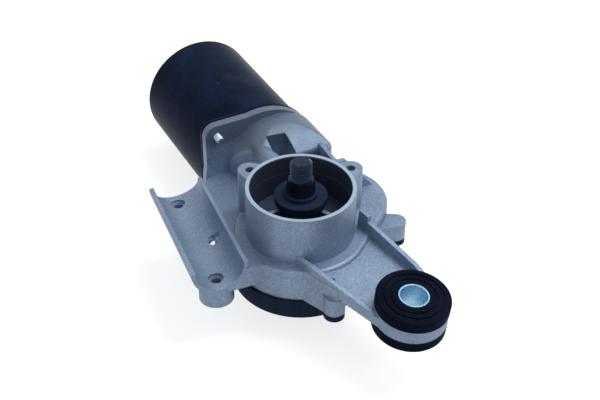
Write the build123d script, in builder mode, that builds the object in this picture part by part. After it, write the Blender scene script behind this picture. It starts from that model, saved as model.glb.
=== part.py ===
"""Wiper motor with a cup around its output shaft, a tube saddle on one side and a rubber-bushed arm.

The origin is on the output shaft's axis in the plane of the cup's rim. +Z runs up the shaft and
+Y runs along the motor can towards its closed end. Sizes are in millimetres.
"""
import os
from math import acos, atan, atan2, cos, degrees, hypot, pi, radians, sin, sqrt, tan

from build123d import *

os.makedirs("parts", exist_ok=True)

# Driving dimensions of the cup and the gear chamber under it
CUP_RADIUS = 25.0
CUP_WALL = 1.8
CUP_FLOOR_TOP = -20.0
DECK = -24.5  # flat top of the chamber, of the web and of the bulge
JOINT = -40.0  # plane where the plastic cover meets the casting
DRUM_RADIUS = 31.0
BULGE_RADIUS = 25.0
CHAMBER_WALL = 2.6
DECK_THICKNESS = 3.0
DECK_EDGE_RADIUS = 1.8
COVER_DEPTH = 11.0
NECK_RADIUS = 8.0
NECK_TOP = -8.6

# Driving dimensions of the motor
MOTOR_X = 12.5
MOTOR_Z = -33.0
CAN_RADIUS = 29.8
CAN_WALL = 1.6
CAN_END = 144.9
FLANGE_FACE = 67.8  # plane of the gasket between casting and can
FLANGE_THICKNESS = 4.0
GASKET_THICKNESS = 0.8
SCREW_INSET = 5.6  # can screws, from the can's side, along X and along Z

# Driving dimensions of the gear train: two-start worm, worm wheel, pinion and output gear
WORM_STARTS = 2
WORM_PITCH_RADIUS = 4.0
WHEEL_TEETH = 24
WHEEL_MODULE = 0.75
WHEEL_WIDTH = 7.0
PINION_TEETH = 11
OUTPUT_TEETH = 46
GEAR_MODULE = 1.0
GEAR_WIDTH = 7.0
GEAR_TOP = -39.5
TOOTH_SHIFT = 0.3  # profile shift, plus on the pinion and minus on the output gear
PRESSURE_ANGLE = radians(20)

# Driving dimensions of the output shaft
SHAFT_RADIUS = 5.0
THREAD_RADIUS = 5.0
CONE_TOP_RADIUS = 6.0
CONE_BOTTOM_RADIUS = 6.6
CONE_TOP = 4.4
CONE_BOTTOM = -2.0
SHAFT_TOP = 13.9
CAP_RADIUS = 12.0
CAP_TOP = -4.3

# Driving dimensions of the tube saddle
TUBE_RADIUS = 11.0
SADDLE_WALL = 2.0
SADDLE_AXIS_Z = -21.0
SADDLE_RIM = -20.0
SADDLE_YAW = 6.2  # degrees, from +Y towards +X
SADDLE_SCREW_NEAR = (-45.4, -5.1)
SADDLE_SCREW_SPACING = 57.2
SADDLE_FRONT = 7.3  # casting in front of the near screw
SADDLE_BACK = 1.1  # rim behind the far screw
SADDLE_NOSE = 6.4  # floor past the end of the rim
SADDLE_COUNTERBORE = 0.8  # wider than the thread, round the mouth of each screw hole
SCREW_BOSS_RADIUS = 8.0
SCREW_BOSS_BOTTOM = -42.6

# Driving dimensions of the rubber-bushed arm
EYE_CENTRE = (18.5, -65.5, -28.8)
EYE_TILT = 5.2  # degrees, top of the bushing leaning outwards
EYE_TILT_HEADING = 23.0  # degrees, from -Y towards +X
EYE_RADIUS = 16.2
EYE_HALF_HEIGHT = 3.4
EYE_HOLE_RADIUS = 10.5
ARM_WALL = 2.2
ARM_FLOOR = -0.9  # above the middle of the eye
ARM_TOP_NEAR = -20.5
ARM_TOP_FAR = -26.8
SLEEVE_RADIUS = 6.7
SLEEVE_BORE_RADIUS = 6.0
SLEEVE_HALF_LENGTH = 9.2

# Details of the casting
BELL_FRONT = 39.5
BELL_EDGE_RADIUS = 3.0
RIDGE_X = 4.0
RIDGE_RADIUS = 4.0
RIDGE_FRONT_TOP = -4.0
RIDGE_BACK_TOP = -10.5
RIDGE_BACK = 55.0
CUP_RIBS = 3
CUP_RIB_THICKNESS = 2.0
CUP_RIB_HEADING = 60.0
NECK_BOTTOM = -36.5
BUSH_OUTER_RADIUS = 6.6
TUNNEL_RADIUS = 6.9
TUNNEL_FRONT = 25.5
FRONT_POST_RADIUS = 5.2
FRONT_BUSH_RADIUS = 4.0
MIDDLE_BUSH_RADIUS = 6.2
COUNTER_BOSS_RADIUS = 4.5
COUNTER_PIN_RADIUS = 2.0
SADDLE_THREAD_RADIUS = 2.5
LOCATING_HOLE_AT = (-36.7, 17.1)
LOCATING_HOLE_RADIUS = 1.8
LOCATING_RECESS = 1.6  # wider than the locating hole, round its mouth
EAR_HOLE_DEPTH = 12.0
COVER_HOLE_DEPTH = 7.5
CAN_THREAD_DEPTH = 13.0
BELL_WIDTH = 49.0
BELL_HEIGHT = 57.0
BELL_CORNER_RADIUS = 22.0
BELL_CAVITY_WIDTH = 38.0
BELL_CAVITY_HEIGHT = 46.0
BELL_CAVITY_RADIUS = 17.0
BELL_STEP_RADIUS = 11.0
NECK_BLOCK_WIDTH = 36.0
NECK_BLOCK_START = 26.0
NECK_BLOCK_END = 43.0
CAN_SCREW_RADIUS = 2.1
THRUST_THICKNESS = 2.0

RUNNING_FIT = 0.04  # radial play of every turning shaft in its bush
PLAY = 0.3  # gap between neighbouring bodies that do not touch

# Sizes that follow from the driving ones
wheel_pitch_radius = WHEEL_TEETH * WHEEL_MODULE / 2
gear_distance = (PINION_TEETH + OUTPUT_TEETH) * GEAR_MODULE / 2
counter_x = MOTOR_X + WORM_PITCH_RADIUS + wheel_pitch_radius
counter_y = sqrt(gear_distance**2 - counter_x**2)
counter_heading = degrees(atan2(counter_y, counter_x))
thread_pitch = pi * WHEEL_MODULE
worm_lead = WORM_STARTS * thread_pitch
lead_angle = atan2(worm_lead, 2 * pi * WORM_PITCH_RADIUS)
ceiling = DECK - DECK_THICKNESS
gear_bottom = GEAR_TOP - GEAR_WIDTH
cover_bottom = JOINT - COVER_DEPTH
wheel_top = MOTOR_Z + WHEEL_WIDTH / 2
wheel_bottom = MOTOR_Z - WHEEL_WIDTH / 2
can_mouth = FLANGE_FACE + GASKET_THICKNESS
flange_front = FLANGE_FACE - FLANGE_THICKNESS
can_inside_radius = CAN_RADIUS - CAN_WALL
can_inside_end = CAN_END - CAN_WALL
screw_offset = CAN_RADIUS - SCREW_INSET
flange_half = CAN_RADIUS + 0.7
flange_radius = CAN_RADIUS + 1.5
saddle_rim_length = SADDLE_FRONT + SADDLE_SCREW_SPACING + SADDLE_BACK
saddle_floor_length = saddle_rim_length + SADDLE_NOSE

# Armature and its bearings, along Y
ARMATURE_SHAFT_RADIUS = 4.65
FRONT_JOURNAL_RADIUS = 2.5
REAR_JOURNAL_RADIUS = 3.0
worm_half_length = 1.5 * worm_lead
front_bush_start = -4.0
front_bush_end = 2.0
middle_bush_start = 43.0
middle_bush_end = 51.0
rear_bush_start = CAN_END - 3.4
rear_bush_end = CAN_END + 2.6
shaft_front = front_bush_start + RUNNING_FIT
shaft_rear = rear_bush_end + 0.4
STACK_START = 90.0
STACK_LENGTH = 36.0
MAGNET_THICKNESS = 5.8
AIR_GAP = 1.0  # between magnets and lamination stack
MAGNET_ANGLE = 130.0
MAGNET_START = 88.0
MAGNET_LENGTH = 40.0
COMMUTATOR_RADIUS = 10.5
COMMUTATOR_START = 71.5
COMMUTATOR_LENGTH = 10.5
COMMUTATOR_CORE_RADIUS = 6.0
SLOTS = 12
BRUSH_PLATE_THICKNESS = 2.0
BRUSH_PLATE_PLAY = 0.3
BELL_CAVITY_START = 53.0
BELL_CAVITY_STEP = 57.0
CAN_EDGE_RADIUS = 3.4
CAN_BOSS_RADIUS = 9.5
REAR_BUSH_RADIUS = 6.5
stack_end = STACK_START + STACK_LENGTH
stack_radius = can_inside_radius - MAGNET_THICKNESS - AIR_GAP
brush_plate_radius = can_inside_radius - BRUSH_PLATE_PLAY
magnet_end = MAGNET_START + MAGNET_LENGTH
plate_face = FLANGE_FACE + BRUSH_PLATE_THICKNESS
can_boss_end = shaft_rear + 1.6

# Brush gear, around the commutator
brush_headings = (0, 55, 180)
BRUSH_WIDTH = 6.0
BRUSH_LENGTH = 7.0
BRUSH_OUTSIDE = 19.0
brush_end = COMMUTATOR_START + COMMUTATOR_LENGTH - 2
HOLDER_INSIDE = 12.4
HOLDER_OUTSIDE = 24.0
HOLDER_WALL = 0.9
HOLDER_PLAY = 0.1

RETAINER_RADIUS = 12.5
RETAINER_THICKNESS = 1.0
RETAINER_NOTCH_PLACE = 11.5
RETAINER_NOTCH_RADIUS = 1.6
SPRING_RADIUS = 2.6
SPRING_INSIDE_RADIUS = 1.8
PLATE_NOTCH_RADIUS = 2.5
PLATE_BORE_RADIUS = 8.0

# Chokes and breaker, standing on the brush plate
CHOKE_PLACE = 21.0  # from the motor's axis
CHOKE_HEADING = 112.0
CHOKE_ARC = 248.0
CHOKE_RADIUS = 2.6
CHOKE_LENGTH = 10.0
CHOKE_FOOT_RADIUS = 3.4
CHOKE_FOOT = 1.5
BREAKER_PLACE = 19.5
BREAKER_HEADING = -62.0
BREAKER_DEPTH = 5.0
BREAKER_WIDTH = 11.0
BREAKER_HEIGHT = 8.0

# Slots of the lamination stack, the coils in them and the commutator's slots
SLOT_FLOOR_RADIUS = 10.0
SLOT_TOP_RADIUS = 18.6
SLOT_FLOOR_HALF = 1.5
SLOT_TOP_HALF = 3.1
SLOT_MOUTH_HALF = 1.0
COIL_PLAY = 0.2
COIL_TOP_HALF = 2.8
COIL_HEAD_OUTSIDE = 18.8
COIL_HEAD_INSIDE = 9.0
COIL_HEAD_LENGTH = 7.0
COIL_FRONT_LENGTH = 6.0
COIL_HEAD_ROUNDING = 2.5
BAR_SLOT_DEPTH = 1.8
BAR_SLOT_WIDTH = 0.6
CORE_LIP = 1.2
CORE_FOOT = 1.0
slot_mouth_end = stack_radius + 1.6

# Screws of the can, in the flange's own axes, and the smaller pieces of the drive
can_screws_at = [(-screw_offset, screw_offset), (screw_offset, -screw_offset)]
CAN_SCREW_HEAD = 2.8
CAN_SCREW_HEAD_RADIUS = 4.0
CAN_SCREW_TIP = 4.0
CAP_THICKNESS = 3.4
CAP_HUB_RADIUS = 7.7
CAP_HUB_TOP = -2.4
HUB_RISE = 2.0
PINION_HUB_RADIUS = 3.6
WHEEL_THINNING = 0.15
GEAR_THINNING = 0.08
SHAFT_BUSH_LENGTH = 11.0
SHAFT_CHAMFER = 1.1
RETAINING_THICKNESS = 0.8
WORM_FOOT_HALF = 0.87  # half of the thread's thickness where it enters the shaft
WORM_CREST_HALF = 0.27
WORM_SINK = 0.2  # how far the thread's foot reaches into the shaft
GEAR_RIM_INSIDE = 18.5
GEAR_HUB_OUTSIDE = 9.5
GEAR_RECESS = 3.0
SPOKES = 6
SPOKE_PLACE = 14.0
SPOKE_LENGTH = 10.0
SPOKE_WIDTH = 1.8
SPOKE_HEIGHT = 2.5
GROMMET_RADIUS = 16.4
GROMMET_HALF_LENGTH = 8.8
GROMMET_GROOVES = (9.6, 12.6)
GROMMET_GROOVE_WIDTH = 0.8
GROMMET_GROOVE_DEPTH = 0.5
worm_root_radius = WORM_PITCH_RADIUS - 0.9
worm_tip_radius = WORM_PITCH_RADIUS + 0.6
washer_thickness = NECK_BOTTOM - GEAR_TOP - HUB_RISE - RUNNING_FIT
pinion_bottom = gear_bottom - 0.5

# Plastic cover, its contact plate and its connector
COVER_GASKET_THICKNESS = 0.6
COVER_LIP = 1.0
COVER_WALL = 2.0
COVER_LUG_THICKNESS = 2.5
CONTACT_PLATE_THICKNESS = 1.0
CONTACT_PLATE_RADIUS = 20.0
CONTACT_DISC_THICKNESS = 0.4
CONTACT_DISC_INSIDE = 8.0
CONTACT_DISC_OUTSIDE = 19.0
CONTACT_DISC_ARC = 330.0
FINGERS_AT = (9.5, 13.0, 16.5)
FINGER_WIDTH = 1.6
FINGER_THICKNESS = 0.3
FINGER_GAP = 0.06
FINGER_TIP = -1.0
FINGER_BEND = -9.0
FINGER_END = -14.0
COVER_SCREW_HEAD = 2.4
COVER_SCREW_HEAD_RADIUS = 3.15
COVER_SCREW_GRIP = 7.0  # in the casting
COVER_EDGE_RADIUS = 1.5
SOCKET_WALL = 1.5
SOCKET_CORNER_RADIUS = 2.0
SOCKET_AT = (30.0, -1.0)
SOCKET_LENGTH = 22.0
SOCKET_WIDTH = 11.0
SOCKET_DEPTH = 11.0
PINS = 5
PIN_SPACING = 3.6
PIN_THICKNESS = 0.8
PIN_WIDTH = 2.8
PIN_RECESS = 5.0  # from the socket's mouth to the tips of the pins
cover_top = JOINT - COVER_GASKET_THICKNESS
cover_floor = cover_bottom + COVER_WALL
socket_bottom = cover_bottom - SOCKET_DEPTH


def motor_plane(y):
    """Plane square to the motor at y: local x is +X, local y is +Z, and its normal faces -Y."""
    return Plane(origin=(MOTOR_X, y, MOTOR_Z), x_dir=(1, 0, 0), z_dir=(0, -1, 0))


def saddle_plane(distance):
    """Plane square to the tube, at a distance past the saddle's near end, facing that end."""
    return Plane(
        origin=(
            saddle_near[0] + distance * saddle_heading[0],
            saddle_near[1] + distance * saddle_heading[1],
            SADDLE_AXIS_Z,
        ),
        x_dir=(saddle_heading[1], -saddle_heading[0], 0),
        z_dir=(-saddle_heading[0], -saddle_heading[1], 0),
    )


saddle_heading = (sin(radians(SADDLE_YAW)), cos(radians(SADDLE_YAW)))
saddle_near = (
    SADDLE_SCREW_NEAR[0] - SADDLE_FRONT * saddle_heading[0],
    SADDLE_SCREW_NEAR[1] - SADDLE_FRONT * saddle_heading[1],
)
saddle_screw_far = (
    SADDLE_SCREW_NEAR[0] + SADDLE_SCREW_SPACING * saddle_heading[0],
    SADDLE_SCREW_NEAR[1] + SADDLE_SCREW_SPACING * saddle_heading[1],
)

# Upright plane along the saddle: local x is the distance past its near end, local y is Z
saddle_side_plane = Plane(
    origin=(saddle_near[0], saddle_near[1], 0),
    x_dir=(saddle_heading[0], saddle_heading[1], 0),
    z_dir=(saddle_heading[1], -saddle_heading[0], 0),
)

# Upright plane of the thin rib that runs from the right ear to the bell
bell_rib_start = Vector(26.0, 12.0, 0)
bell_rib_end = Vector(33.6, 44.0, 0)
bell_rib_length = (bell_rib_end - bell_rib_start).length
bell_rib_heading = (bell_rib_end - bell_rib_start).normalized()
bell_rib_plane = Plane(
    origin=bell_rib_start,
    x_dir=bell_rib_heading,
    z_dir=(bell_rib_heading.Y, -bell_rib_heading.X, 0),
)
GUSSET_Y = 13.6

# Plane of the arm: its normal is the bushing's axis and its origin the middle of the eye
eye_axis = Vector(
    sin(radians(EYE_TILT)) * sin(radians(EYE_TILT_HEADING)),
    -sin(radians(EYE_TILT)) * cos(radians(EYE_TILT_HEADING)),
    cos(radians(EYE_TILT)),
)
eye_x = Vector(cos(radians(EYE_TILT)), 0, -eye_axis.X).normalized()
eye_x = (eye_x - eye_axis * eye_x.dot(eye_axis)).normalized()
arm_plane = Plane(origin=EYE_CENTRE, x_dir=eye_x, z_dir=eye_axis)


def ring_sketch(plane, outer, inner):
    """Flat ring on a plane."""
    with BuildSketch(plane) as ring:
        Circle(outer)
        Circle(inner, mode=Mode.SUBTRACT)
    return ring.sketch


def sector_sketch(plane, inner, outer, start, angle):
    """Part of a flat ring, from a start angle over an angle in degrees."""
    with BuildSketch(plane) as sector:
        with BuildLine():
            inside = CenterArc((0, 0), inner, start, angle)
            outside = CenterArc((0, 0), outer, start, angle)
            Line(inside @ 0, outside @ 0)
            Line(inside @ 1, outside @ 1)
        make_face()
    return sector.sketch


def tooth_sketch(teeth, module, shift, thinning):
    """One involute tooth on the +X side; thinning is taken off its thickness for backlash."""
    pitch_radius = teeth * module / 2
    base_radius = pitch_radius * cos(PRESSURE_ANGLE)
    root_radius = pitch_radius + (shift - 1.25) * module
    tip_radius = pitch_radius + (shift + 0.9) * module
    pitch_angle = (pi / 2 + 2 * shift * tan(PRESSURE_ANGLE)) / teeth - thinning / (2 * pitch_radius)
    involute_start = max(base_radius, root_radius) + 0.01
    steps = 3

    def half_angle(radius):
        roll = acos(base_radius / radius)
        return pitch_angle + (tan(PRESSURE_ANGLE) - PRESSURE_ANGLE) - (tan(roll) - roll)

    flank = []
    for step in range(steps + 1):
        radius = involute_start + (tip_radius - involute_start) * step / steps
        flank.append((radius * cos(half_angle(radius)), radius * sin(half_angle(radius))))
    foot_radius = root_radius - 0.3 * module
    foot_angle = half_angle(involute_start)
    foot = (foot_radius * cos(foot_angle), foot_radius * sin(foot_angle))
    with BuildSketch() as tooth:
        with BuildLine():
            curve = Spline(*flank)
            lower_curve = Spline(*[(x, -y) for x, y in flank])
            Line(curve @ 1, lower_curve @ 1)
            Line(curve @ 0, foot)
            Line(foot, (foot[0], -foot[1]))
            Line((foot[0], -foot[1]), lower_curve @ 0)
        make_face()
    return tooth.sketch


def gear_sketch(teeth, module, shift, thinning, heading):
    """Full outline of a gear with a tooth centred on the heading, in degrees from +X."""
    tooth = tooth_sketch(teeth, module, shift, thinning)
    with BuildSketch() as outline:
        Circle(teeth * module / 2 + (shift - 1.25) * module)
        with PolarLocations(0, teeth, start_angle=heading):
            add(tooth)
    return outline.sketch


def chamber_sketch(height, growth):
    """Outline of the gear chamber in plan, grown (or shrunk) all round, at a height."""
    with BuildSketch(Plane.XY.offset(height)) as outline:
        Circle(DRUM_RADIUS + growth)
        with Locations((counter_x, counter_y)):
            Circle(BULGE_RADIUS + growth)
        make_hull()
    return outline.sketch


def flange_sketch(y, shrink):
    """Outline of the motor flange: round, with a square corner for a screw at two diagonals."""
    half = flange_half - shrink
    corner_radius = 6.0
    with BuildSketch(motor_plane(y)) as outline:
        Circle(flange_radius - shrink)
        for side in (-1, 1):
            with Locations((side * half / 2, -side * half / 2)):
                Rectangle(half, half)
        corners = [
            corner
            for corner in outline.vertices()
            if hypot(corner.X, corner.Y) > flange_radius + corner_radius
        ]
        fillet(corners, radius=corner_radius)
    return outline.sketch


# Places of the screws that hold the plastic cover
cover_screws_at = [(-4.4, -40.0), (46.8, -8.6), (-4.0, 36.0), (-28.4, 22.2)]
COVER_LUG_RADIUS = 4.8
COVER_SCREW_RADIUS = 1.75
LUG_HEIGHT = 9.0


def lug_sketch(place, height):
    """Outline of one screw lug, drawn out towards the middle of the chamber."""
    middle = (counter_x / 2, counter_y / 2)
    reach = hypot(place[0] - middle[0], place[1] - middle[1])
    inward = 1 - 2 * COVER_LUG_RADIUS / reach
    root = (middle[0] + (place[0] - middle[0]) * inward, middle[1] + (place[1] - middle[1]) * inward)
    with BuildSketch(Plane.XY.offset(height)) as outline:
        with Locations(place):
            Circle(COVER_LUG_RADIUS)
        with Locations(root):
            Circle(COVER_LUG_RADIUS + 1.5)
        make_hull()
    return outline.sketch


# Ears on the cup: radius of the hole's place, heading in degrees
ears_at = [(28.6, 117.0), (29.3, 10.0)]
EAR_TOP = -3.0
EAR_RADIUS = 5.6
EAR_HOLE_RADIUS = 2.1

# Web between chamber, saddle and motor flange
WEB_DEPTH = 10.5
WEB_PLATE = 3.0
WEB_FLANGE_DROP = 7.5
WEB_INSIDE_DROP = 0.78  # share of the drop that the web's underside has reached where it ends
WEB_SETBACK = 0.1
WEB_HOLLOW_END = 14.0  # from the flange
web_slope_start = 8.0
web_end = SADDLE_SCREW_NEAR[1] + SADDLE_SCREW_SPACING - WEB_SETBACK

# Arm in plan, in the plane of the eye: outer edge, then the same edge a wall further in
arm_left = [(-35.6, 54.0), (-EYE_RADIUS, 0.0)]
arm_right = [(EYE_RADIUS, 0.0), (15.4, 20.0), (9.2, 50.0), (8.0, 56.0)]
arm_outline = arm_left + arm_right
arm_inside = [(x + 1.07 * ARM_WALL, y) for x, y in arm_left] + [(x - ARM_WALL, y) for x, y in arm_right]

# Web of the casting: its top slopes towards the motor and it is hollow from below
with BuildPart() as web_form:
    with BuildSketch(Plane.YZ.offset(saddle_near[0] - 2)):
        with BuildLine():
            Polyline(
                (saddle_near[1] - 6, DECK),
                (web_slope_start, DECK),
                (flange_front + 1, DECK - WEB_FLANGE_DROP),
                (flange_front + 1, DECK - WEB_FLANGE_DROP - WEB_DEPTH),
                (web_slope_start, DECK - WEB_DEPTH),
                (saddle_near[1] - 6, DECK - WEB_DEPTH),
                close=True,
            )
        make_face()
    extrude(amount=56)
    with BuildSketch(Plane.YZ.offset(saddle_near[0])):
        with BuildLine():
            Polyline(
                (saddle_near[1] + 1, DECK - WEB_PLATE),
                (web_slope_start, DECK - WEB_PLATE),
                (flange_front - WEB_HOLLOW_END, DECK - WEB_PLATE - WEB_FLANGE_DROP * WEB_INSIDE_DROP),
                (flange_front - WEB_HOLLOW_END, DECK - 3 * WEB_DEPTH),
                (saddle_near[1] + 1, DECK - 3 * WEB_DEPTH),
                close=True,
            )
        make_face()
    extrude(amount=43, mode=Mode.SUBTRACT)
    with BuildSketch(Plane.XY.offset(DECK - WEB_FLANGE_DROP - WEB_DEPTH)):
        with BuildLine():
            Polyline(
                saddle_near,
                (-20.0, saddle_near[1] - (-20 - saddle_near[0]) * tan(radians(SADDLE_YAW))),
                (5.0, 10.0),
                (5.0, flange_front + 0.5),
                (-17.6, flange_front + 0.5),
                (-29.0, web_end),
                (-38.5, web_end),
                close=True,
            )
        make_face()
    extrude(amount=30, mode=Mode.INTERSECT)

# Bell of the casting: a rounded form whose top, underside and left flank close in on the cup
with BuildPart() as bell_form:
    bell_back = flange_front + 0.5
    with BuildSketch(motor_plane(bell_back)):
        with Locations((6.0, -1.0)):
            RectangleRounded(BELL_WIDTH, BELL_HEIGHT, BELL_CORNER_RADIUS)
    extrude(amount=bell_back - BELL_FRONT)
    with BuildSketch(Plane.YZ.offset(MOTOR_X - 30)):
        with BuildLine():
            top = ThreePointArc(
                (bell_back, MOTOR_Z + 28),
                (BELL_FRONT + 10, MOTOR_Z + 25.5),
                (BELL_FRONT, MOTOR_Z + 18.5),
            )
            Polyline(top @ 1, (BELL_FRONT, MOTOR_Z - 20.5), (bell_back, MOTOR_Z - 30), top @ 0)
        make_face()
    extrude(amount=70, mode=Mode.INTERSECT)
    with BuildSketch(Plane.XY.offset(MOTOR_Z - 40)):
        with BuildLine():
            Polyline(
                (MOTOR_X - 19, bell_back),
                (MOTOR_X - 8, BELL_FRONT),
                (MOTOR_X + 27, BELL_FRONT),
                (MOTOR_X + 31, bell_back),
                close=True,
            )
        make_face()
    extrude(amount=80, mode=Mode.INTERSECT)
    fillet(bell_form.edges().filter_by_position(Axis.Y, BELL_FRONT - 1, bell_back - 1), BELL_EDGE_RADIUS)


# Gear chamber in the solid, with the upper edge of its deck rounded
with BuildPart() as chamber_form:
    extrude(chamber_sketch(JOINT, 0), amount=DECK - JOINT)
    fillet(chamber_form.faces().sort_by(Axis.Z)[-1].edges(), radius=DECK_EDGE_RADIUS)

# Gear housing: one aluminium casting, with the arm first because its channel is cut out
with BuildPart() as gear_housing:
    # Arm: a channel of one floor and two walls, its wall tops falling away from the cup
    with BuildSketch(arm_plane.offset(-EYE_HALF_HEIGHT)):
        with BuildLine():
            Polyline(*arm_outline, close=True)
        make_face()
    extrude(amount=EYE_HALF_HEIGHT + 9)
    with BuildSketch(Plane.YZ.offset(-30)):
        with BuildLine():
            Polyline(
                (-16.0, ARM_TOP_NEAR + 1.5),
                (EYE_CENTRE[1], ARM_TOP_FAR),
                (EYE_CENTRE[1] - 25, ARM_TOP_FAR),
                (EYE_CENTRE[1] - 25, 0),
                (-16.0, 0),
                close=True,
            )
        make_face()
    extrude(amount=80, mode=Mode.SUBTRACT)
    with BuildSketch(Plane.XY.offset(JOINT)):
        with BuildLine():
            Polyline((-15.0, -25.0), (-6.9, -44.4), (-1.5, -44.4), (4.0, -20.0), close=True)
        make_face()
    with BuildSketch(Plane.XY.offset(DECK - 0.5)):
        with BuildLine():
            Polyline((-12.3, -25.0), (-5.4, -44.4), (-1.5, -44.4), (4.0, -20.0), close=True)
        make_face()
    loft()
    with BuildSketch(arm_plane.offset(ARM_FLOOR)):
        with BuildLine():
            Polyline(*arm_inside, close=True)
        make_face()
    extrude(amount=16, mode=Mode.SUBTRACT)
    with BuildSketch(arm_plane.offset(ARM_FLOOR - 1)):
        with BuildLine():
            Polyline((-26.0, 32.5), (-20.5, 30.8), (-21.9, 21.4), (-23.0, 21.0), close=True)
        make_face()
    extrude(amount=2, mode=Mode.SUBTRACT)
    with BuildSketch(arm_plane.offset(-EYE_HALF_HEIGHT)):
        Circle(EYE_RADIUS)
    extrude(amount=2 * EYE_HALF_HEIGHT)
    with BuildSketch(arm_plane.offset(-EYE_HALF_HEIGHT - 1)):
        Circle(EYE_HOLE_RADIUS)
    extrude(amount=2 * EYE_HALF_HEIGHT + 2, mode=Mode.SUBTRACT)

    # Gear chamber, and the cup standing on it
    add(chamber_form.part)
    with BuildSketch(Plane.XY.offset(DECK - 1)):
        Circle(CUP_RADIUS)
    extrude(amount=1 - DECK)

    # Neck block that joins the chamber to the bell round the armature's tunnel
    with BuildSketch(Plane.XY.offset(JOINT)):
        with Locations((MOTOR_X, (NECK_BLOCK_START + NECK_BLOCK_END) / 2)):
            Rectangle(NECK_BLOCK_WIDTH, NECK_BLOCK_END - NECK_BLOCK_START)
    extrude(amount=DECK - JOINT)

    # Bell and web, and the motor flange
    add(bell_form.part)
    add(web_form.part)
    extrude(flange_sketch(FLANGE_FACE, 0), amount=FLANGE_THICKNESS)

    # Recess in the bell behind the cup, with a ridge on its left that ties bell and cup together
    with BuildSketch(Plane.XY.offset(MOTOR_Z + 12.5)):
        with BuildLine():
            Polyline(
                (RIDGE_X + RIDGE_RADIUS, BELL_FRONT - 2),
                (RIDGE_X + RIDGE_RADIUS, 51.0),
                (18.0, 50.0),
                (19.5, BELL_FRONT - 2),
                close=True,
            )
        make_face()
    extrude(amount=30, mode=Mode.SUBTRACT)
    for y, top in ((CUP_RADIUS - 1.5, RIDGE_FRONT_TOP), (RIDGE_BACK, RIDGE_BACK_TOP)):
        with BuildSketch(Plane.XZ.offset(-y)):
            with Locations((RIDGE_X, top - RIDGE_RADIUS)):
                Circle(RIDGE_RADIUS)
                Rectangle(2 * RIDGE_RADIUS, top - RIDGE_RADIUS - DECK, align=(Align.CENTER, Align.MAX))
    loft()

    # Thin rib from the bell to the right ear, and the gusset beside that ear
    with BuildSketch(bell_rib_plane):
        with BuildLine():
            Polyline((0, -4.0), (bell_rib_length, -13.5), (bell_rib_length, DECK - 0.5), (0, DECK - 0.5),
                     close=True)
        make_face()
    extrude(amount=1, both=True)
    with BuildSketch(Plane.XZ.offset(-GUSSET_Y)):
        with BuildLine():
            Polyline((20.0, -4.5), (31.5, -5.0), (46.8, DECK), (46.8, DECK - 1), (20.0, DECK - 1), close=True)
        make_face()
    extrude(amount=-2.5)

    # Tube saddle: half a pipe with straight lips, and a boss under each of its screws
    with BuildSketch(saddle_plane(saddle_floor_length)):
        Circle(TUBE_RADIUS + SADDLE_WALL)
        with Locations((0, SADDLE_RIM - SADDLE_AXIS_Z)):
            Rectangle(60, 40, align=(Align.CENTER, Align.MIN), mode=Mode.SUBTRACT)
    extrude(amount=saddle_floor_length)
    with BuildSketch(saddle_side_plane):
        with BuildLine():
            Polyline(
                (saddle_rim_length, SADDLE_RIM + 1),
                (saddle_rim_length + 0.8, SADDLE_RIM - 3),
                (saddle_floor_length, SADDLE_AXIS_Z - TUBE_RADIUS - SADDLE_WALL),
                (saddle_floor_length + 3, SADDLE_RIM + 1),
                close=True,
            )
        make_face()
    extrude(amount=TUBE_RADIUS + SADDLE_WALL + 0.2, both=True, mode=Mode.SUBTRACT)
    with BuildSketch(Plane.XY.offset(SCREW_BOSS_BOTTOM)):
        with Locations(SADDLE_SCREW_NEAR):
            Circle(SCREW_BOSS_RADIUS)
    extrude(amount=SADDLE_AXIS_Z - 5 - SCREW_BOSS_BOTTOM)
    with BuildSketch(Plane.XY.offset(SCREW_BOSS_BOTTOM + 3)):
        with Locations(saddle_screw_far):
            Circle(SCREW_BOSS_RADIUS - 1.5)
    extrude(amount=SADDLE_AXIS_Z - 9 - SCREW_BOSS_BOTTOM)

    # Ears on the cup, each on a post from the deck
    for radius, heading in ears_at:
        with BuildSketch(Plane.XY.offset(DECK - 0.5)):
            with PolarLocations(radius, 1, start_angle=heading):
                Circle(EAR_RADIUS)
            with PolarLocations(radius - EAR_RADIUS, 1, start_angle=heading):
                Circle(EAR_RADIUS + 1.5)
            make_hull()
        extrude(amount=EAR_TOP - DECK + 0.5)

    # Lugs for the cover's screws
    for place in cover_screws_at:
        extrude(lug_sketch(place, JOINT), amount=LUG_HEIGHT)

    # Hollows: the cup, the chamber with the tube's bed, and the bell
    with BuildSketch(Plane.XY.offset(CUP_FLOOR_TOP)):
        Circle(CUP_RADIUS - CUP_WALL)
    extrude(amount=1 - CUP_FLOOR_TOP, mode=Mode.SUBTRACT)
    extrude(chamber_sketch(JOINT - 1, -CHAMBER_WALL), amount=ceiling - JOINT + 1, mode=Mode.SUBTRACT)
    with BuildSketch(saddle_plane(saddle_floor_length + 3)):
        Circle(TUBE_RADIUS)
        Rectangle(2 * TUBE_RADIUS, 20, align=(Align.CENTER, Align.MIN))
    extrude(amount=saddle_floor_length + 12, mode=Mode.SUBTRACT)
    with BuildSketch(motor_plane(FLANGE_FACE)):
        with Locations((6.4, -1.0)):
            RectangleRounded(BELL_CAVITY_WIDTH, BELL_CAVITY_HEIGHT, BELL_CAVITY_RADIUS)
    extrude(amount=FLANGE_FACE - BELL_CAVITY_STEP, mode=Mode.SUBTRACT)
    with BuildSketch(motor_plane(BELL_CAVITY_STEP)):
        Circle(BELL_STEP_RADIUS)
    extrude(amount=BELL_CAVITY_STEP - BELL_CAVITY_START, mode=Mode.SUBTRACT)

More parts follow.
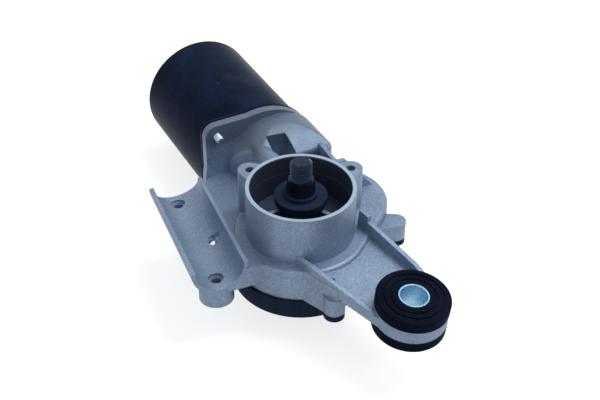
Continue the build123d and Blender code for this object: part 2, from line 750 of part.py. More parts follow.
    # Neck that carries the output shaft, and the ribs that tie it to the cup
    with BuildSketch(Plane.XY.offset(NECK_BOTTOM)):
        Circle(NECK_RADIUS)
    extrude(amount=NECK_TOP - NECK_BOTTOM)
    with BuildSketch(Plane.XY.offset(CUP_FLOOR_TOP - 1)):
        with PolarLocations((CUP_RADIUS + NECK_RADIUS) / 2 - 0.7, CUP_RIBS, start_angle=CUP_RIB_HEADING):
            Rectangle(CUP_RADIUS - NECK_RADIUS - 0.4, CUP_RIB_THICKNESS)
    extrude(amount=NECK_TOP - 0.6 - CUP_FLOOR_TOP + 1)

    # Tunnel round the armature, its front post, and the boss of the counter gear's pin
    with BuildSketch(motor_plane(middle_bush_end + 1)):
        Circle(TUNNEL_RADIUS)
        Rectangle(2 * TUNNEL_RADIUS, MOTOR_Z * -1 + ceiling + 1, align=(Align.CENTER, Align.MIN))
    extrude(amount=middle_bush_end + 1 - TUNNEL_FRONT)
    with BuildSketch(motor_plane(front_bush_end)):
        Circle(FRONT_POST_RADIUS)
        Rectangle(2 * FRONT_POST_RADIUS, MOTOR_Z * -1 + ceiling + 1, align=(Align.CENTER, Align.MIN))
    extrude(amount=front_bush_end - front_bush_start + 4)
    with BuildSketch(Plane.XY.offset(wheel_top + PLAY)):
        with Locations((counter_x, counter_y)):
            Circle(COUNTER_BOSS_RADIUS)
    extrude(amount=ceiling - wheel_top - PLAY + 1)

    # Bores and screw holes
    with BuildSketch(Plane.XY.offset(NECK_BOTTOM - 1)):
        Circle(BUSH_OUTER_RADIUS)
    extrude(amount=NECK_TOP - NECK_BOTTOM + 2, mode=Mode.SUBTRACT)
    with BuildSketch(motor_plane(middle_bush_end + 2)):
        Circle(MIDDLE_BUSH_RADIUS)
    extrude(amount=middle_bush_end + 2 - middle_bush_start, mode=Mode.SUBTRACT)
    with BuildSketch(motor_plane(middle_bush_start + 1)):
        Circle(ARMATURE_SHAFT_RADIUS + 0.7)
    extrude(amount=middle_bush_start + 1 - TUNNEL_FRONT + 1, mode=Mode.SUBTRACT)
    with BuildSketch(motor_plane(front_bush_end + 1)):
        Circle(FRONT_BUSH_RADIUS)
    extrude(amount=front_bush_end + 1 - front_bush_start + THRUST_THICKNESS, mode=Mode.SUBTRACT)
    with BuildSketch(Plane.XY.offset(wheel_top)):
        with Locations((counter_x, counter_y)):
            Circle(COUNTER_PIN_RADIUS)
    extrude(amount=ceiling - wheel_top + 1.5, mode=Mode.SUBTRACT)
    with BuildSketch(Plane.XY.offset(SCREW_BOSS_BOTTOM - 1)):
        with Locations(SADDLE_SCREW_NEAR, saddle_screw_far):
            Circle(SADDLE_THREAD_RADIUS)
    extrude(amount=16, mode=Mode.SUBTRACT)
    with BuildSketch(Plane.XY.offset(SADDLE_AXIS_Z - TUBE_RADIUS - 1.2)):
        with Locations(SADDLE_SCREW_NEAR, saddle_screw_far):
            Circle(SADDLE_THREAD_RADIUS + SADDLE_COUNTERBORE)
    extrude(amount=6, mode=Mode.SUBTRACT)
    with BuildSketch(Plane.XY.offset(SADDLE_AXIS_Z - TUBE_RADIUS + 0.9)):
        with Locations(LOCATING_HOLE_AT):
            Circle(LOCATING_HOLE_RADIUS + LOCATING_RECESS)
    extrude(amount=6, mode=Mode.SUBTRACT)
    with BuildSketch(Plane.XY.offset(SADDLE_AXIS_Z - 20)):
        with Locations(LOCATING_HOLE_AT):
            Circle(LOCATING_HOLE_RADIUS)
    extrude(amount=15, mode=Mode.SUBTRACT)
    for radius, heading in ears_at:
        with BuildSketch(Plane.XY.offset(EAR_TOP - EAR_HOLE_DEPTH)):
            with PolarLocations(radius, 1, start_angle=heading):
                Circle(EAR_HOLE_RADIUS)
        extrude(amount=EAR_HOLE_DEPTH + 1, mode=Mode.SUBTRACT)
    with BuildSketch(Plane.XY.offset(JOINT - 1)):
        with Locations(*cover_screws_at):
            Circle(COVER_SCREW_RADIUS)
    extrude(amount=COVER_HOLE_DEPTH + 1, mode=Mode.SUBTRACT)
    with BuildSketch(motor_plane(FLANGE_FACE + 1)):
        with Locations(*can_screws_at):
            Circle(CAN_SCREW_RADIUS)
    extrude(amount=FLANGE_THICKNESS + CAN_THREAD_DEPTH + 1, mode=Mode.SUBTRACT)
gear_housing.part.label = "gear_housing"
export_step(gear_housing.part, "parts/gear_housing.step")

# Motor can: drawn steel cup with a bearing boss on its closed end and a flange at its mouth
with BuildPart() as motor_can:
    extrude(flange_sketch(can_mouth + CAN_WALL, 0), amount=CAN_WALL)
    with BuildSketch(motor_plane(CAN_END)):
        Circle(CAN_RADIUS)
    extrude(amount=CAN_END - can_mouth)
    fillet(motor_can.faces().sort_by(Axis.Y)[-1].edges(), radius=CAN_EDGE_RADIUS)
    with BuildSketch(motor_plane(can_boss_end)):
        Circle(CAN_BOSS_RADIUS)
    extrude(amount=can_boss_end - CAN_END + 1)
    fillet(motor_can.faces().sort_by(Axis.Y)[-1].edges(), radius=1.2)
    with BuildSketch(motor_plane(can_inside_end)):
        Circle(can_inside_radius)
    extrude(amount=can_inside_end - can_mouth + 1, mode=Mode.SUBTRACT)
    with BuildSketch(motor_plane(rear_bush_end)):
        Circle(REAR_BUSH_RADIUS)
    extrude(amount=rear_bush_end - can_inside_end + 1, mode=Mode.SUBTRACT)
    with BuildSketch(motor_plane(shaft_rear + 0.5)):
        Circle(REAR_JOURNAL_RADIUS + 1)
    extrude(amount=2, mode=Mode.SUBTRACT)
    with BuildSketch(motor_plane(can_mouth + CAN_WALL + 1)):
        with Locations(*can_screws_at):
            Circle(CAN_SCREW_RADIUS + 0.2)
    extrude(amount=CAN_WALL + 2, mode=Mode.SUBTRACT)
motor_can.part.label = "motor_can"
export_step(motor_can.part, "parts/motor_can.step")

# Gasket between the casting's flange and the can
with BuildPart() as can_gasket:
    extrude(flange_sketch(can_mouth, 0.6), amount=GASKET_THICKNESS)
    with BuildSketch(motor_plane(can_mouth + 1)):
        Circle(can_inside_radius + 0.3)
        with Locations(*can_screws_at):
            Circle(CAN_SCREW_RADIUS + 0.2)
    extrude(amount=GASKET_THICKNESS + 2, mode=Mode.SUBTRACT)
can_gasket.part.label = "can_gasket"
export_step(can_gasket.part, "parts/can_gasket.step")

# Screws that hold the can: hexagon heads on the can's flange, tips past the casting's flange
with BuildPart() as can_screws:
    for place in can_screws_at:
        with BuildSketch(motor_plane(can_mouth + CAN_WALL + CAN_SCREW_HEAD)):
            with Locations(place):
                RegularPolygon(CAN_SCREW_HEAD_RADIUS, 6)
        extrude(amount=CAN_SCREW_HEAD)
        with BuildSketch(motor_plane(can_mouth + CAN_WALL)):
            with Locations(place):
                Circle(CAN_SCREW_RADIUS)
        extrude(amount=can_mouth + CAN_WALL - flange_front + CAN_SCREW_TIP)
can_screws.part.label = "can_screws"
export_step(can_screws.part, "parts/can_screws.step")

# Two curved magnets against the can's wall
with BuildPart() as magnets:
    for start in (-MAGNET_ANGLE / 2, 180 - MAGNET_ANGLE / 2):
        magnet = sector_sketch(
            motor_plane(magnet_end),
            can_inside_radius - MAGNET_THICKNESS,
            can_inside_radius,
            start,
            MAGNET_ANGLE,
        )
        extrude(magnet, amount=MAGNET_LENGTH)
magnets.part.label = "magnets"
export_step(magnets.part, "parts/magnets.step")

# Springs that keep the magnets apart, above and below the armature
with BuildPart() as magnet_clips:
    for start in (MAGNET_ANGLE / 2, 180 + MAGNET_ANGLE / 2):
        clip = sector_sketch(
            motor_plane(magnet_end - 5), can_inside_radius - 1, can_inside_radius, start, 180 - MAGNET_ANGLE
        )
        extrude(clip, amount=MAGNET_LENGTH - 10)
magnet_clips.part.label = "magnet_clips"
export_step(magnet_clips.part, "parts/magnet_clips.step")

# Bush at the can's closed end, and the plate that holds it in its boss
with BuildPart() as rear_bearing:
    rear_bush_ring = ring_sketch(
        motor_plane(rear_bush_end), REAR_BUSH_RADIUS, REAR_JOURNAL_RADIUS + RUNNING_FIT
    )
    extrude(rear_bush_ring, amount=rear_bush_end - rear_bush_start)
rear_bearing.part.label = "rear_bearing"
export_step(rear_bearing.part, "parts/rear_bearing.step")

with BuildPart() as bearing_retainer:
    retainer_ring = ring_sketch(motor_plane(can_inside_end), RETAINER_RADIUS, REAR_BUSH_RADIUS)
    extrude(retainer_ring, amount=RETAINER_THICKNESS)
    with BuildSketch(motor_plane(can_inside_end + 1)):
        with PolarLocations(RETAINER_NOTCH_PLACE, 4):
            Circle(RETAINER_NOTCH_RADIUS)
    extrude(amount=3, mode=Mode.SUBTRACT)
bearing_retainer.part.label = "bearing_retainer"
export_step(bearing_retainer.part, "parts/bearing_retainer.step")

# Bush in the bell, bush in the front post and the pad that takes the worm's thrust
with BuildPart() as middle_bush:
    middle_bush_ring = ring_sketch(
        motor_plane(middle_bush_end), MIDDLE_BUSH_RADIUS, ARMATURE_SHAFT_RADIUS + RUNNING_FIT
    )
    extrude(middle_bush_ring, amount=middle_bush_end - middle_bush_start)
middle_bush.part.label = "middle_bush"
export_step(middle_bush.part, "parts/middle_bush.step")

with BuildPart() as front_bush:
    front_bush_ring = ring_sketch(
        motor_plane(front_bush_end), FRONT_BUSH_RADIUS, FRONT_JOURNAL_RADIUS + RUNNING_FIT
    )
    extrude(front_bush_ring, amount=front_bush_end - front_bush_start)
front_bush.part.label = "front_bush"
export_step(front_bush.part, "parts/front_bush.step")

with BuildPart() as thrust_pad:
    with BuildSketch(motor_plane(front_bush_start)):
        Circle(FRONT_BUSH_RADIUS)
    extrude(amount=THRUST_THICKNESS)
thrust_pad.part.label = "thrust_pad"
export_step(thrust_pad.part, "parts/thrust_pad.step")

# Insulating plate inside the can's mouth that carries the brush gear
with BuildPart() as brush_plate:
    plate_ring = ring_sketch(motor_plane(plate_face), brush_plate_radius, PLATE_BORE_RADIUS)
    extrude(plate_ring, amount=BRUSH_PLATE_THICKNESS)
    with BuildSketch(motor_plane(plate_face + 1)):
        with PolarLocations(brush_plate_radius, 3, start_angle=90):
            Circle(PLATE_NOTCH_RADIUS)
    extrude(amount=BRUSH_PLATE_THICKNESS + 2, mode=Mode.SUBTRACT)
brush_plate.part.label = "brush_plate"
export_step(brush_plate.part, "parts/brush_plate.step")

# Brass boxes that guide the brushes
with BuildPart() as brush_holders:
    holder_middle = (HOLDER_INSIDE + HOLDER_OUTSIDE) / 2
    holder_top = brush_end + HOLDER_PLAY + HOLDER_WALL
    for heading in brush_headings:
        with BuildSketch(motor_plane(holder_top)):
            with PolarLocations(holder_middle, 1, start_angle=heading):
                Rectangle(HOLDER_OUTSIDE - HOLDER_INSIDE, BRUSH_WIDTH + 2 * HOLDER_PLAY + 2 * HOLDER_WALL)
        extrude(amount=holder_top - plate_face)
        with BuildSketch(motor_plane(brush_end + HOLDER_PLAY)):
            with PolarLocations(holder_middle - HOLDER_WALL, 1, start_angle=heading):
                Rectangle(HOLDER_OUTSIDE - HOLDER_INSIDE, BRUSH_WIDTH + 2 * HOLDER_PLAY)
        extrude(amount=BRUSH_LENGTH + 2 * HOLDER_PLAY, mode=Mode.SUBTRACT)
brush_holders.part.label = "brush_holders"
export_step(brush_holders.part, "parts/brush_holders.step")

# Three carbon brushes, hollowed to the commutator
with BuildPart() as carbon_brushes:
    for heading in brush_headings:
        with BuildSketch(motor_plane(brush_end)):
            with PolarLocations((BRUSH_OUTSIDE + COMMUTATOR_RADIUS - 1) / 2, 1, start_angle=heading):
                Rectangle(BRUSH_OUTSIDE - COMMUTATOR_RADIUS + 1, BRUSH_WIDTH)
        extrude(amount=BRUSH_LENGTH)
    with BuildSketch(motor_plane(brush_end + 1)):
        Circle(COMMUTATOR_RADIUS + RUNNING_FIT)
    extrude(amount=BRUSH_LENGTH + 2, mode=Mode.SUBTRACT)
carbon_brushes.part.label = "carbon_brushes"
export_step(carbon_brushes.part, "parts/carbon_brushes.step")

# Springs behind the brushes, as the sleeves that their coils fill
with BuildPart() as brush_springs:
    for heading in brush_headings:
        outward = (cos(radians(heading)), 0, sin(radians(heading)))
        spring_plane = Plane(
            origin=(
                MOTOR_X + BRUSH_OUTSIDE * outward[0],
                brush_end - BRUSH_LENGTH / 2,
                MOTOR_Z + BRUSH_OUTSIDE * outward[2],
            ),
            z_dir=outward,
        )
        spring_ring = ring_sketch(spring_plane, SPRING_RADIUS, SPRING_INSIDE_RADIUS)
        extrude(spring_ring, amount=HOLDER_OUTSIDE - HOLDER_WALL - BRUSH_OUTSIDE)
brush_springs.part.label = "brush_springs"
export_step(brush_springs.part, "parts/brush_springs.step")

# Suppression chokes and the breaker that protects the winding, standing on the brush plate
with BuildPart() as chokes:
    for radius, length in ((CHOKE_RADIUS, CHOKE_LENGTH), (CHOKE_FOOT_RADIUS, CHOKE_FOOT)):
        with BuildSketch(motor_plane(plate_face + length)):
            with PolarLocations(CHOKE_PLACE, 2, start_angle=CHOKE_HEADING, angular_range=CHOKE_ARC):
                Circle(radius)
        extrude(amount=length)
chokes.part.label = "chokes"
export_step(chokes.part, "parts/chokes.step")

with BuildPart() as thermal_breaker:
    with BuildSketch(motor_plane(plate_face + BREAKER_HEIGHT)):
        with PolarLocations(BREAKER_PLACE, 1, start_angle=BREAKER_HEADING):
            Rectangle(BREAKER_DEPTH, BREAKER_WIDTH)
    extrude(amount=BREAKER_HEIGHT)
thermal_breaker.part.label = "thermal_breaker"
export_step(thermal_breaker.part, "parts/thermal_breaker.step")

# One thread of the worm, upright at the origin with its beginning on the +X side
with BuildPart() as worm_thread:
    with BuildLine() as thread_line:
        Helix(pitch=worm_lead, height=2 * worm_half_length, radius=WORM_PITCH_RADIUS)
    with BuildSketch(Plane.XZ):
        with BuildLine():
            Polyline(
                (worm_root_radius - WORM_SINK, -WORM_FOOT_HALF),
                (worm_tip_radius, -WORM_CREST_HALF),
                (worm_tip_radius, WORM_CREST_HALF),
                (worm_root_radius - WORM_SINK, WORM_FOOT_HALF),
                close=True,
            )
        make_face()
    sweep(path=thread_line.wires()[0], is_frenet=True)

# Armature shaft, with the two-start worm rolled on it
with BuildPart() as armature_shaft:
    worm_start = counter_y - worm_half_length
    with BuildSketch(motor_plane(shaft_rear)):
        Circle(REAR_JOURNAL_RADIUS)
    extrude(amount=shaft_rear - rear_bush_start + 2)
    with BuildSketch(motor_plane(rear_bush_start - 1)):
        Circle(ARMATURE_SHAFT_RADIUS)
    extrude(amount=rear_bush_start - 1 - worm_start - 2 * worm_half_length - 2)
    with BuildSketch(motor_plane(worm_start + 2 * worm_half_length + 3)):
        Circle(worm_root_radius)
    extrude(amount=2 * worm_half_length + 5)
    with BuildSketch(motor_plane(worm_start - 1)):
        Circle(FRONT_JOURNAL_RADIUS)
    extrude(amount=worm_start - 1 - shaft_front)
    for start in range(WORM_STARTS):
        with Locations(Location((MOTOR_X, worm_start, MOTOR_Z)) * Rotation(-90, 0, 0)):
            add(worm_thread.part.rotate(Axis.Z, 360 / WORM_STARTS * start))
armature_shaft.part.label = "armature_shaft"
export_step(armature_shaft.part, "parts/armature_shaft.step")

# Stack of iron laminations with a slot for each coil side
with BuildPart() as lamination_stack:
    extrude(ring_sketch(motor_plane(stack_end), stack_radius, ARMATURE_SHAFT_RADIUS), amount=STACK_LENGTH)
    with BuildSketch(motor_plane(stack_end + 1)):
        with PolarLocations(0, SLOTS):
            with BuildLine():
                Polyline(
                    (SLOT_FLOOR_RADIUS, -SLOT_FLOOR_HALF),
                    (SLOT_TOP_RADIUS, -SLOT_TOP_HALF),
                    (SLOT_TOP_RADIUS, -SLOT_MOUTH_HALF),
                    (slot_mouth_end, -SLOT_MOUTH_HALF),
                    (slot_mouth_end, SLOT_MOUTH_HALF),
                    (SLOT_TOP_RADIUS, SLOT_MOUTH_HALF),
                    (SLOT_TOP_RADIUS, SLOT_TOP_HALF),
                    (SLOT_FLOOR_RADIUS, SLOT_FLOOR_HALF),
                    close=True,
                )
            make_face()
    extrude(amount=STACK_LENGTH + 2, mode=Mode.SUBTRACT)
lamination_stack.part.label = "lamination_stack"
export_step(lamination_stack.part, "parts/lamination_stack.step")

# Copper winding: a bar in each slot and a rounded head at each end of the stack
with BuildPart() as windings:
    with BuildSketch(motor_plane(stack_end)):
        with PolarLocations(0, SLOTS):
            with BuildLine():
                Polyline(
                    (SLOT_FLOOR_RADIUS + COIL_PLAY, COIL_PLAY - SLOT_FLOOR_HALF),
                    (SLOT_TOP_RADIUS - COIL_PLAY, -COIL_TOP_HALF),
                    (SLOT_TOP_RADIUS - COIL_PLAY, COIL_TOP_HALF),
                    (SLOT_FLOOR_RADIUS + COIL_PLAY, SLOT_FLOOR_HALF - COIL_PLAY),
                    close=True,
                )
            make_face()
    extrude(amount=STACK_LENGTH)
    coil_heads = [(stack_end + COIL_HEAD_LENGTH, COIL_HEAD_LENGTH), (STACK_START, COIL_FRONT_LENGTH)]
    for head_end, head_length in coil_heads:
        head_ring = ring_sketch(motor_plane(head_end), COIL_HEAD_OUTSIDE, COIL_HEAD_INSIDE)
        extrude(head_ring, amount=head_length)
    fillet(windings.faces().sort_by(Axis.Y)[-1].edges(), radius=COIL_HEAD_ROUNDING)
    fillet(windings.faces().sort_by(Axis.Y)[0].edges(), radius=COIL_HEAD_ROUNDING)
windings.part.label = "windings"
export_step(windings.part, "parts/windings.step")

# Commutator: copper bars on a plastic core
with BuildPart() as commutator:
    commutator_end = COMMUTATOR_START + COMMUTATOR_LENGTH
    commutator_ring = ring_sketch(motor_plane(commutator_end), COMMUTATOR_RADIUS, COMMUTATOR_CORE_RADIUS)
    extrude(commutator_ring, amount=COMMUTATOR_LENGTH)
    with BuildSketch(motor_plane(commutator_end + 1)):
        with PolarLocations(COMMUTATOR_RADIUS, SLOTS):
            Rectangle(BAR_SLOT_DEPTH, BAR_SLOT_WIDTH)
    extrude(amount=COMMUTATOR_LENGTH + 2, mode=Mode.SUBTRACT)
commutator.part.label = "commutator"
export_step(commutator.part, "parts/commutator.step")

with BuildPart() as commutator_core:
    core_plane = motor_plane(commutator_end + CORE_LIP)
    core_ring = ring_sketch(core_plane, COMMUTATOR_CORE_RADIUS, ARMATURE_SHAFT_RADIUS)
    extrude(core_ring, amount=COMMUTATOR_LENGTH + CORE_LIP + CORE_FOOT)
commutator_core.part.label = "commutator_core"
export_step(commutator_core.part, "parts/commutator_core.step")

# Bushes of the output shaft, at the top and the bottom of the neck
with BuildPart() as shaft_bush_upper:
    upper_ring = ring_sketch(Plane.XY.offset(NECK_TOP), BUSH_OUTER_RADIUS, SHAFT_RADIUS + RUNNING_FIT)
    extrude(upper_ring, amount=-SHAFT_BUSH_LENGTH)
shaft_bush_upper.part.label = "shaft_bush_upper"
export_step(shaft_bush_upper.part, "parts/shaft_bush_upper.step")

with BuildPart() as shaft_bush_lower:
    lower_ring = ring_sketch(Plane.XY.offset(NECK_BOTTOM), BUSH_OUTER_RADIUS, SHAFT_RADIUS + RUNNING_FIT)
    extrude(lower_ring, amount=SHAFT_BUSH_LENGTH)
shaft_bush_lower.part.label = "shaft_bush_lower"
export_step(shaft_bush_lower.part, "parts/shaft_bush_lower.step")

# Output shaft: plain shank, coarse cone for the wiper arm and the thread above it
with BuildPart() as output_shaft:
    with BuildSketch(Plane.XY.offset(gear_bottom)):
        Circle(SHAFT_RADIUS)
    extrude(amount=CONE_BOTTOM - gear_bottom)
    with BuildSketch(Plane.XY.offset(CONE_BOTTOM)):
        Circle(CONE_BOTTOM_RADIUS)
    cone_taper = degrees(atan((CONE_BOTTOM_RADIUS - CONE_TOP_RADIUS) / (CONE_TOP - CONE_BOTTOM)))
    extrude(amount=CONE_TOP - CONE_BOTTOM, taper=cone_taper)
    with BuildSketch(Plane.XY.offset(CONE_TOP)):
        Circle(THREAD_RADIUS)
    extrude(amount=SHAFT_TOP - CONE_TOP)
    chamfer(output_shaft.faces().sort_by(Axis.Z)[-1].edges(), length=SHAFT_CHAMFER)
output_shaft.part.label = "output_shaft"
export_step(output_shaft.part, "parts/output_shaft.step")

# Cap that turns with the shaft and keeps water out of the neck
with BuildPart() as shaft_cap:
    extrude(ring_sketch(Plane.XY.offset(CAP_TOP), CAP_RADIUS, SHAFT_RADIUS), amount=-CAP_THICKNESS)
    extrude(ring_sketch(Plane.XY.offset(CAP_TOP), CAP_HUB_RADIUS, SHAFT_RADIUS), amount=CAP_HUB_TOP - CAP_TOP)
shaft_cap.part.label = "shaft_cap"
export_step(shaft_cap.part, "parts/shaft_cap.step")

# Ring that stops the shaft from dropping, and the washer between neck and gear
with BuildPart() as retaining_ring:
    retaining_top = CAP_TOP - CAP_THICKNESS
    retaining_sketch = ring_sketch(Plane.XY.offset(retaining_top), NECK_RADIUS, SHAFT_RADIUS)
    extrude(retaining_sketch, amount=-RETAINING_THICKNESS)
retaining_ring.part.label = "retaining_ring"
export_step(retaining_ring.part, "parts/retaining_ring.step")

with BuildPart() as thrust_washer:
    washer_plane = Plane.XY.offset(GEAR_TOP + HUB_RISE)
    extrude(ring_sketch(washer_plane, NECK_RADIUS + 0.5, SHAFT_RADIUS), amount=washer_thickness)
thrust_washer.part.label = "thrust_washer"
export_step(thrust_washer.part, "parts/thrust_washer.step")

# Output gear: toothed rim on a recessed web, with a hub round the shaft
with BuildPart() as output_gear:
    gear_outline = gear_sketch(OUTPUT_TEETH, GEAR_MODULE, -TOOTH_SHIFT, GEAR_THINNING, counter_heading)
    extrude(Plane.XY.offset(gear_bottom) * gear_outline, amount=GEAR_WIDTH)
    recess_ring = ring_sketch(Plane.XY.offset(GEAR_TOP), GEAR_RIM_INSIDE, GEAR_HUB_OUTSIDE)
    extrude(recess_ring, amount=-GEAR_RECESS, mode=Mode.SUBTRACT)
    with BuildSketch(Plane.XY.offset(GEAR_TOP - GEAR_RECESS)):
        with PolarLocations(SPOKE_PLACE, SPOKES):
            Rectangle(SPOKE_LENGTH, SPOKE_WIDTH)
    extrude(amount=SPOKE_HEIGHT)
    with BuildSketch(Plane.XY.offset(GEAR_TOP - 1)):
        Circle(NECK_RADIUS + 1)
    extrude(amount=HUB_RISE + 1)
    with BuildSketch(Plane.XY.offset(gear_bottom - 1)):
        Circle(SHAFT_RADIUS)
    extrude(amount=GEAR_WIDTH + HUB_RISE + 2, mode=Mode.SUBTRACT)
output_gear.part.label = "output_gear"
export_step(output_gear.part, "parts/output_gear.step")

# Copper disc under the gear, with the gap that marks the parked position
with BuildPart() as contact_disc:
    disc = sector_sketch(
        Plane.XY.offset(gear_bottom), CONTACT_DISC_INSIDE, CONTACT_DISC_OUTSIDE, 0, CONTACT_DISC_ARC
    )
    extrude(disc, amount=-CONTACT_DISC_THICKNESS)
contact_disc.part.label = "contact_disc"
export_step(contact_disc.part, "parts/contact_disc.step")

# Fixed pin of the counter gear
with BuildPart() as counter_pin:
    with BuildSketch(Plane.XY.offset(cover_floor - 0.5)):
        with Locations((counter_x, counter_y)):
            Circle(COUNTER_PIN_RADIUS)
    extrude(amount=ceiling + 1.5 - cover_floor + 0.5)
counter_pin.part.label = "counter_pin"
export_step(counter_pin.part, "parts/counter_pin.step")

# Worm wheel of the counter gear, with teeth twisted to the worm's lead angle
with BuildPart() as counter_gear:
    twist = degrees(WHEEL_WIDTH * tan(lead_angle) / wheel_pitch_radius)
    wheel_heading = 180 + 180 / WHEEL_TEETH - twist / 2
    wheel_outline = gear_sketch(WHEEL_TEETH, WHEEL_MODULE, 0, WHEEL_THINNING, wheel_heading)
    wheel_place = Location((counter_x, counter_y, wheel_bottom))
    wheel_face = (wheel_place * wheel_outline).faces()[0]
    wheel_solid = Solid.extrude_linear_with_rotation(
        wheel_face, (counter_x, counter_y, wheel_bottom), (0, 0, WHEEL_WIDTH), twist
    )
    add(wheel_solid)
    with BuildSketch(Plane.XY.offset(wheel_bottom - 1)):
        with Locations((counter_x, counter_y)):
            Circle(PINION_HUB_RADIUS)
    extrude(amount=WHEEL_WIDTH + 2, mode=Mode.SUBTRACT)
counter_gear.part.label = "counter_gear"
export_step(counter_gear.part, "parts/counter_gear.step")

# Pinion of the counter gear: its hub carries the wheel
with BuildPart() as counter_pinion:
    pinion_heading = counter_heading + 180 + 180 / PINION_TEETH
    pinion_outline = gear_sketch(PINION_TEETH, GEAR_MODULE, TOOTH_SHIFT, GEAR_THINNING, pinion_heading)
    pinion_place = Location((counter_x, counter_y, pinion_bottom))
    extrude(pinion_place * pinion_outline, amount=wheel_bottom - pinion_bottom)
    with BuildSketch(Plane.XY.offset(wheel_bottom - 1)):
        with Locations((counter_x, counter_y)):
            Circle(PINION_HUB_RADIUS)
    extrude(amount=WHEEL_WIDTH + 1)
    with BuildSketch(Plane.XY.offset(pinion_bottom - 1)):
        with Locations((counter_x, counter_y)):
            Circle(COUNTER_PIN_RADIUS + RUNNING_FIT)
    extrude(amount=wheel_top - pinion_bottom + 2, mode=Mode.SUBTRACT)
counter_pinion.part.label = "counter_pinion"
export_step(counter_pinion.part, "parts/counter_pinion.step")

# Gasket between the casting and the plastic cover
with BuildPart() as cover_gasket:
    extrude(chamber_sketch(cover_top, 0), amount=COVER_GASKET_THICKNESS)
    extrude(chamber_sketch(cover_top - 1, -CHAMBER_WALL), amount=3, mode=Mode.SUBTRACT)
cover_gasket.part.label = "cover_gasket"
export_step(cover_gasket.part, "parts/cover_gasket.step")

# Plastic cover: shallow tray with screw tabs and the connector's socket underneath
with BuildPart() as gear_cover:
    extrude(chamber_sketch(cover_bottom, COVER_LIP), amount=cover_top - cover_bottom)
    fillet(gear_cover.faces().sort_by(Axis.Z)[0].edges(), radius=COVER_EDGE_RADIUS)
    for place in cover_screws_at:
        extrude(lug_sketch(place, cover_top - COVER_LUG_THICKNESS), amount=COVER_LUG_THICKNESS)
    with BuildSketch(Plane.XY.offset(socket_bottom)):
        with Locations(SOCKET_AT):
            RectangleRounded(SOCKET_LENGTH, SOCKET_WIDTH, SOCKET_CORNER_RADIUS)
    extrude(amount=SOCKET_DEPTH + 1)
    extrude(chamber_sketch(cover_floor, COVER_LIP - COVER_WALL), amount=COVER_DEPTH, mode=Mode.SUBTRACT)
    with BuildSketch(Plane.XY.offset(socket_bottom - 1)):
        with Locations(SOCKET_AT):
            RectangleRounded(
                SOCKET_LENGTH - 2 * SOCKET_WALL, SOCKET_WIDTH - 2 * SOCKET_WALL, SOCKET_CORNER_RADIUS / 2
            )
    extrude(amount=SOCKET_DEPTH + 1, mode=Mode.SUBTRACT)
    with BuildSketch(Plane.XY.offset(cover_floor)):
        with Locations((counter_x, counter_y)):
            Circle(COUNTER_BOSS_RADIUS)
    extrude(amount=pinion_bottom - PLAY - cover_floor)
    with BuildSketch(Plane.XY.offset(cover_floor - 0.5)):
        with Locations((counter_x, counter_y)):
            Circle(COUNTER_PIN_RADIUS)
    extrude(amount=COVER_DEPTH, mode=Mode.SUBTRACT)
    with BuildSketch(Plane.XY.offset(socket_bottom)):
        with Locations(SOCKET_AT):
            with GridLocations(PIN_SPACING, 0, PINS, 1):
                Rectangle(PIN_THICKNESS, PIN_WIDTH)
    extrude(amount=SOCKET_DEPTH + COVER_WALL + 1, mode=Mode.SUBTRACT)
    with BuildSketch(Plane.XY.offset(cover_top - COVER_DEPTH)):
        with Locations(*cover_screws_at):
            Circle(COVER_SCREW_RADIUS)
    extrude(amount=COVER_DEPTH + 1, mode=Mode.SUBTRACT)
gear_cover.part.label = "gear_cover"
export_step(gear_cover.part, "parts/gear_cover.step")

# Screws of the cover, put in from below
with BuildPart() as cover_screws:
    with BuildSketch(Plane.XY.offset(cover_top - COVER_LUG_THICKNESS)):
        with Locations(*cover_screws_at):
            Circle(COVER_SCREW_RADIUS)
    extrude(amount=COVER_LUG_THICKNESS + COVER_GASKET_THICKNESS + COVER_SCREW_GRIP)
    with BuildSketch(Plane.XY.offset(cover_top - COVER_LUG_THICKNESS)):
        with Locations(*cover_screws_at):
            Circle(COVER_SCREW_HEAD_RADIUS)
    extrude(amount=-COVER_SCREW_HEAD)
cover_screws.part.label = "cover_screws"
export_step(cover_screws.part, "parts/cover_screws.step")

# Contact plate on the cover's floor, with a tongue that reaches the connector
with BuildPart() as contact_plate:
    with BuildSketch(Plane.XY.offset(cover_floor)):
        Circle(CONTACT_PLATE_RADIUS)
        with Locations((0, SOCKET_AT[1])):
            Rectangle(SOCKET_AT[0] + SOCKET_LENGTH / 2 - 2, SOCKET_WIDTH - 2, align=(Align.MIN, Align.CENTER))
        Circle(SHAFT_RADIUS + 1.5, mode=Mode.SUBTRACT)
    extrude(amount=CONTACT_PLATE_THICKNESS)
contact_plate.part.label = "contact_plate"
export_step(contact_plate.part, "parts/contact_plate.step")

# Bent strips that feel the copper disc
with BuildPart() as contact_fingers:
    finger_foot = cover_floor + CONTACT_PLATE_THICKNESS
    finger_top = gear_bottom - CONTACT_DISC_THICKNESS - FINGER_GAP
    for finger_y in FINGERS_AT:
        finger_end = FINGER_END + 0.3 * finger_y
        with BuildSketch(Plane.XZ.offset(-finger_y - FINGER_WIDTH / 2)):
            with BuildLine():
                Polyline(
                    (finger_end, finger_foot),
                    (FINGER_BEND, finger_foot),
                    (FINGER_TIP, finger_top - FINGER_THICKNESS),
                    (FINGER_TIP, finger_top),
                    (FINGER_BEND - 0.1, finger_foot + FINGER_THICKNESS),
                    (finger_end, finger_foot + FINGER_THICKNESS),
                    close=True,
                )
            make_face()
        extrude(amount=FINGER_WIDTH)
contact_fingers.part.label = "contact_fingers"
export_step(contact_fingers.part, "parts/contact_fingers.step")

